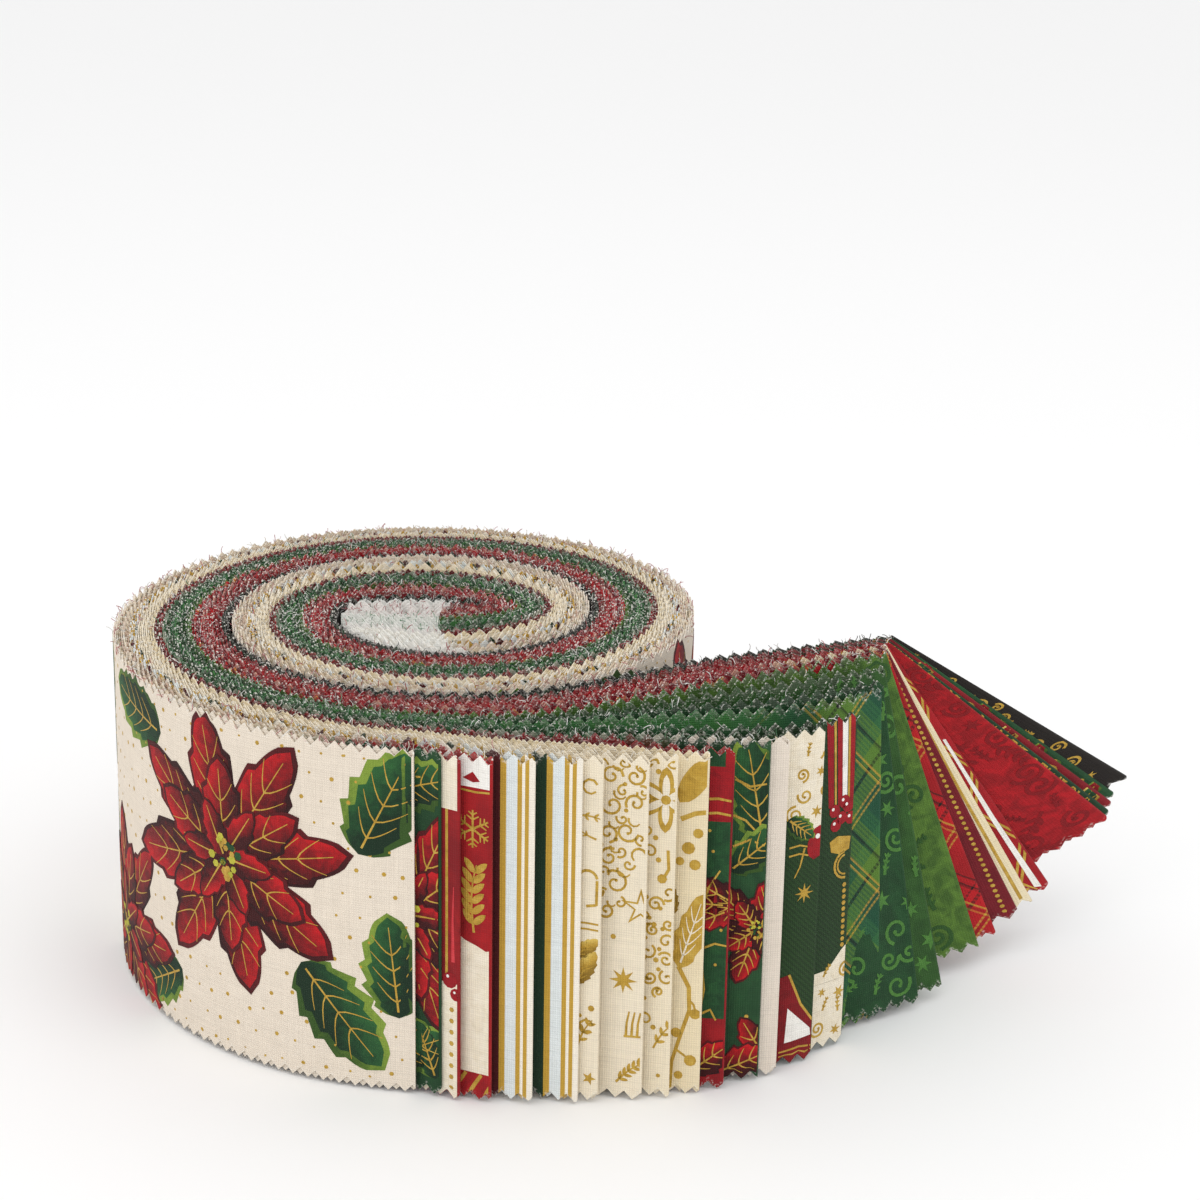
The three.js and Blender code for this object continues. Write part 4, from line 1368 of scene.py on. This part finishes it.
def tonalPrint(ink, left, spacing, thick):
    return lambda dice: scatterShapes(dice, left, 0, spacing, thick=thick, ink=ink)


nearFold = -inkShape["foldClear"]
printRows = [  # piece, strip, maker, left and right limits from the fold
    ("printFlowers", 0, printFlowers, -190, nearFold),
    ("printFlowersBack", 0, printFlowers, -392, -190),
    ("printGreenFlowers", 1, printGreenFlowers, -16, nearFold),
    ("printCreamRed", 2, printCreamRed, -9, nearFold),
    ("printRedSnow", 3, printRedSnow, -12, nearFold),
    ("printSparse", 6, printSparse, -10, nearFold),
    ("printScrolls", 7, printScrolls, -12, nearFold),
    ("printStar", 8, printStar, -10, nearFold),
    ("printLeaves", 9, printLeaves, -12, nearFold),
    ("printRedGreen", 10, printRedGreen, -8, nearFold),
    ("printGreenRed", 11, printGreenRed, -12, nearFold),
    ("printTwill", 13, printTwill, -10, nearFold),
    ("printRibbons", 14, printRibbons, -9, nearFold),
    ("printGreenTonal", 16, tonalPrint("inkMint", -34, 5.6, 0.7), -34, nearFold),
    ("printGreenScrolls", 17, tonalPrint("inkMint", -36, 6.0, 0.8), -36, nearFold),
    ("printLightGreen", 18, tonalPrint("inkFern", -40, 6.0, 0.85), -40, nearFold),
    ("printMaroon", 20, printMaroon, -18, nearFold),
    ("printSliver", 21, printSliver, -9, nearFold),
    ("printCheck", 22, printCheck, -30, nearFold),
    ("printRedTonal", 23, printRedTonal, -44, nearFold),
    ("printGreenSliver", 24, printGoldScrolls, -9, nearFold),
    ("printRedLeaf", 25, printRedLeaf, -12, nearFold),
    ("printGreenBack", 26, printBackLeaves, -9, nearFold),
]
prints = {}
for name, index, maker, left, right in printRows:
    shapes = list(maker(random.Random(rollShape["seed"] * 1000 + index)))
    prints.setdefault(index, []).append(printShapes(name, index, shapes, left, right))
shapes = list(printBlackGold(random.Random(rollShape["seed"])))
prints[27] = [printShapes("printBlackGold", 27, shapes, -26, nearFold),
              printShapes("printBlackGoldBack", 27, shapes, -nearFold, 100)]
print("prints laid:", sum(len(p.data.polygons) for group in prints.values() for p in group), "faces")


# Frayed threads that stand off the upper pinked edges
threadShape = {
    "spacing": 2.1,         # mm along each layer
    "radius": 0.055,
    "reach": (0.5, 1.7),
    "tilt": 62,             # degrees from upright, at most
    "sides": 3,
    "steps": 3,
    "arc": ((0, 0, 0), (0, 0, 0.5), (0.25, 0.1, 0.8), (0.5, 0, 0.9)),   # start, handles and end, in mm
    "foot": 0.12,           # mm below the cut
    "roughness": 0.9,
    "blotchGrain": 900.0,
    "blotchTones": (("201512", 0.25), ("FFFFFF", 0.3)),
    "groupTones": {
        "threadsCream": ("cotton_cream", "E6DCCB", (1, 2, 3, 4, 5, 6, 7, 8, 9)),
        "threadsRim": ("cotton_red", "B03038", (0, 0, 5)),
        "threadsGreen": ("cotton_green", "44804F", (11, 12, 13, 14, 15, 16, 17, 18)),
        "threadsRed": ("cotton_red", "A8242F", (10, 19, 20, 21, 22, 23, 24, 25)),
        "threadsBlack": ("cotton_black", "3A4038", (26, 27)),
        "threadsPale": ("cotton_cream", "F1EFEA", (0, 5, 11, 14, 16, 18, 20, 23, 27)),
    },
}


def makeThreadTree():
    tree = bpy.data.node_groups.new("frayedThreads", "GeometryNodeTree")
    for name, kind, direction in (("Points", "Geometry", "INPUT"), ("Thread Radius", "Float", "INPUT"),
                                  ("Cloth", "Material", "INPUT"), ("Geometry", "Geometry", "OUTPUT")):
        tree.interface.new_socket(name, in_out=direction, socket_type="NodeSocket" + kind)
    given = addNode(tree, "NodeGroupInput").outputs
    bends = {i + 1: [value * mm for value in bend] for i, bend in enumerate(threadShape["arc"])}
    arc = addNode(tree, "GeometryNodeCurvePrimitiveBezierSegment", mode="POSITION",
                  values={0: threadShape["steps"], **bends})
    ring = addNode(tree, "GeometryNodeCurvePrimitiveCircle", mode="RADIUS",
                   values={0: threadShape["sides"]}, links={4: given["Thread Radius"]})
    thread = addNode(tree, "GeometryNodeCurveToMesh", values={"Fill Caps": True},
                     links={0: arc.outputs[0], 1: ring.outputs[0]})
    turnTo, reach = (addNode(tree, "GeometryNodeInputNamedAttribute", data_type="FLOAT_VECTOR",
                             values={0: label}) for label in ("turnTo", "reach"))
    placed = addNode(tree, "GeometryNodeInstanceOnPoints",
                     links={"Points": given["Points"], "Instance": thread.outputs[0],
                            "Rotation": turnTo.outputs[0], "Scale": reach.outputs[0]})
    real = addNode(tree, "GeometryNodeRealizeInstances", links={0: placed.outputs[0]})
    done = addNode(tree, "GeometryNodeSetMaterial",
                   links={"Geometry": real.outputs[0], "Material": given["Cloth"]})
    addNode(tree, "NodeGroupOutput", links={0: done.outputs[0]})
    return tree


def threadPoints(name, members, dice):
    # one point a thread, on the cut edge of each layer of the strips named by number
    places, turns, reaches = [], [], []
    pitch, depth = rollShape["toothPitch"] / 2, rollShape["toothDepth"]
    tilt = math.radians(threadShape["tilt"])
    for index in members:
        path = stripPaths[index]
        start, end = path["along"][0], path["along"][-1]
        xs = np.array([start + (end - start) * dice.random()
                       for i in range(int((end - start) / threadShape["spacing"] / 2))])
        notch = (pitch - np.abs((xs + path["phase"]) % (2 * pitch) - pitch)) * depth / pitch
        lean = np.array([dice.uniform(-1, 1) for x in xs]) * rollShape["clothThickness"] / 2
        spine, side, down = (bothWays(path[key], path["along"], xs) for key in ("spine", "side", "down"))
        places += list(spine + side * lean[:, None] + down * (notch + threadShape["foot"])[:, None])
        for x in xs:
            turns.append((dice.uniform(-tilt, tilt), dice.uniform(-tilt, tilt), dice.uniform(0, fullTurn)))
            reaches.append([dice.uniform(*threadShape["reach"])] * 3)
    mesh = bpy.data.meshes.new(name)
    mesh.from_pydata([tuple(place * mm) for place in places], [], [])
    for label, values in (("turnTo", turns), ("reach", reaches)):
        data = mesh.attributes.new(label, "FLOAT_VECTOR", "POINT").data
        data.foreach_set("vector", np.array(values).ravel())
    return linkObject(name, mesh)


def makeThread(name, tone):
    material, tree = newMaterial(name)
    where = addNode(tree, "ShaderNodeTexCoord").outputs["Object"]
    dark, pale = (mixedTone(tone, other, share) for other, share in threadShape["blotchTones"])
    shade = addRamp(tree, addNoise(tree, where, threadShape["blotchGrain"]), [(0.35, dark), (0.65, pale)])
    shader = tree.nodes["Principled BSDF"]
    tree.links.new(shade, shader.inputs["Base Color"])
    shader.inputs["Roughness"].default_value = threadShape["roughness"]
    return material


threadTree = makeThreadTree()
threads = []
for name, (slotName, tone, members) in threadShape["groupTones"].items():
    sizes = {"Thread Radius": threadShape["radius"] * mm, "Cloth": makeThread(name, tone)}
    points = threadPoints(name + "Points", members, random.Random(rollShape["seed"] + len(threads)))
    threads.append((bakeNodes(points, threadTree, sizes, name, ()), slotName))
print("threads laid:", sum(len(piece.data.polygons) for piece, slotName in threads), "faces")


# Floor, light and background
floorShape = {"half": 3.0, "tone": (0.95, 0.95, 0.95, 1), "roughness": 0.9, "specular": 0.1}
roomLight = {"tone": (1, 1, 1, 1), "strength": 0.95}


def makeFloor():
    half = floorShape["half"]
    mesh = bpy.data.meshes.new("floor")
    corners = [(-half, -half, 0), (half, -half, 0), (half, half, 0), (-half, half, 0)]
    mesh.from_pydata(corners, [], [(0, 1, 2, 3)])
    material, tree = newMaterial("paleFloor")
    shader = tree.nodes["Principled BSDF"]
    shader.inputs["Base Color"].default_value = floorShape["tone"]
    shader.inputs["Roughness"].default_value = floorShape["roughness"]
    shader.inputs["Specular IOR Level"].default_value = floorShape["specular"]
    mesh.materials.append(material)
    return linkObject("floor", mesh)


lightRows = [  # name, place, aim, size and power, in m and W
    ("softTop", (0.1, -0.25, 1.1), (0.02, -0.02, 0.03), 0.9, 1.8),
    ("softLeft", (-0.9, -0.8, 0.6), (0.0, 0.0, 0.03), 0.7, 1.6),
    ("softRight", (1.0, -0.7, 0.5), (0.03, 0.0, 0.03), 0.8, 0.6),
]
for name, place, aim, size, power in lightRows:
    data = bpy.data.lights.new(name, "AREA")
    data.size, data.energy = size, power
    lamp = linkObject(name, data)
    lamp.location = place
    lamp.rotation_euler = (Vector(aim) - Vector(place)).to_track_quat("-Z", "Y").to_euler()
scene.world = bpy.data.worlds.new("paleRoom")
scene.world.use_nodes = True
background = scene.world.node_tree.nodes["Background"]
background.inputs[0].default_value = roomLight["tone"]
background.inputs[1].default_value = roomLight["strength"]
scene.view_settings.view_transform = "Standard"
floor = makeFloor()
print("floor, lamps and camera placed")

# Every piece rides on the root, and a strip hides the CAD part it takes the place of
for index, (row, strip) in enumerate(zip(stripRows, strips)):
    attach(strip, "root")
    if row[1]:
        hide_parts(row[1])
    for piece in prints.get(index, []):
        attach(piece, "root")
    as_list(prints.get(index, []))
for piece, slotName in threads:
    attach(piece, "root")

bpy.context.view_layer.update()
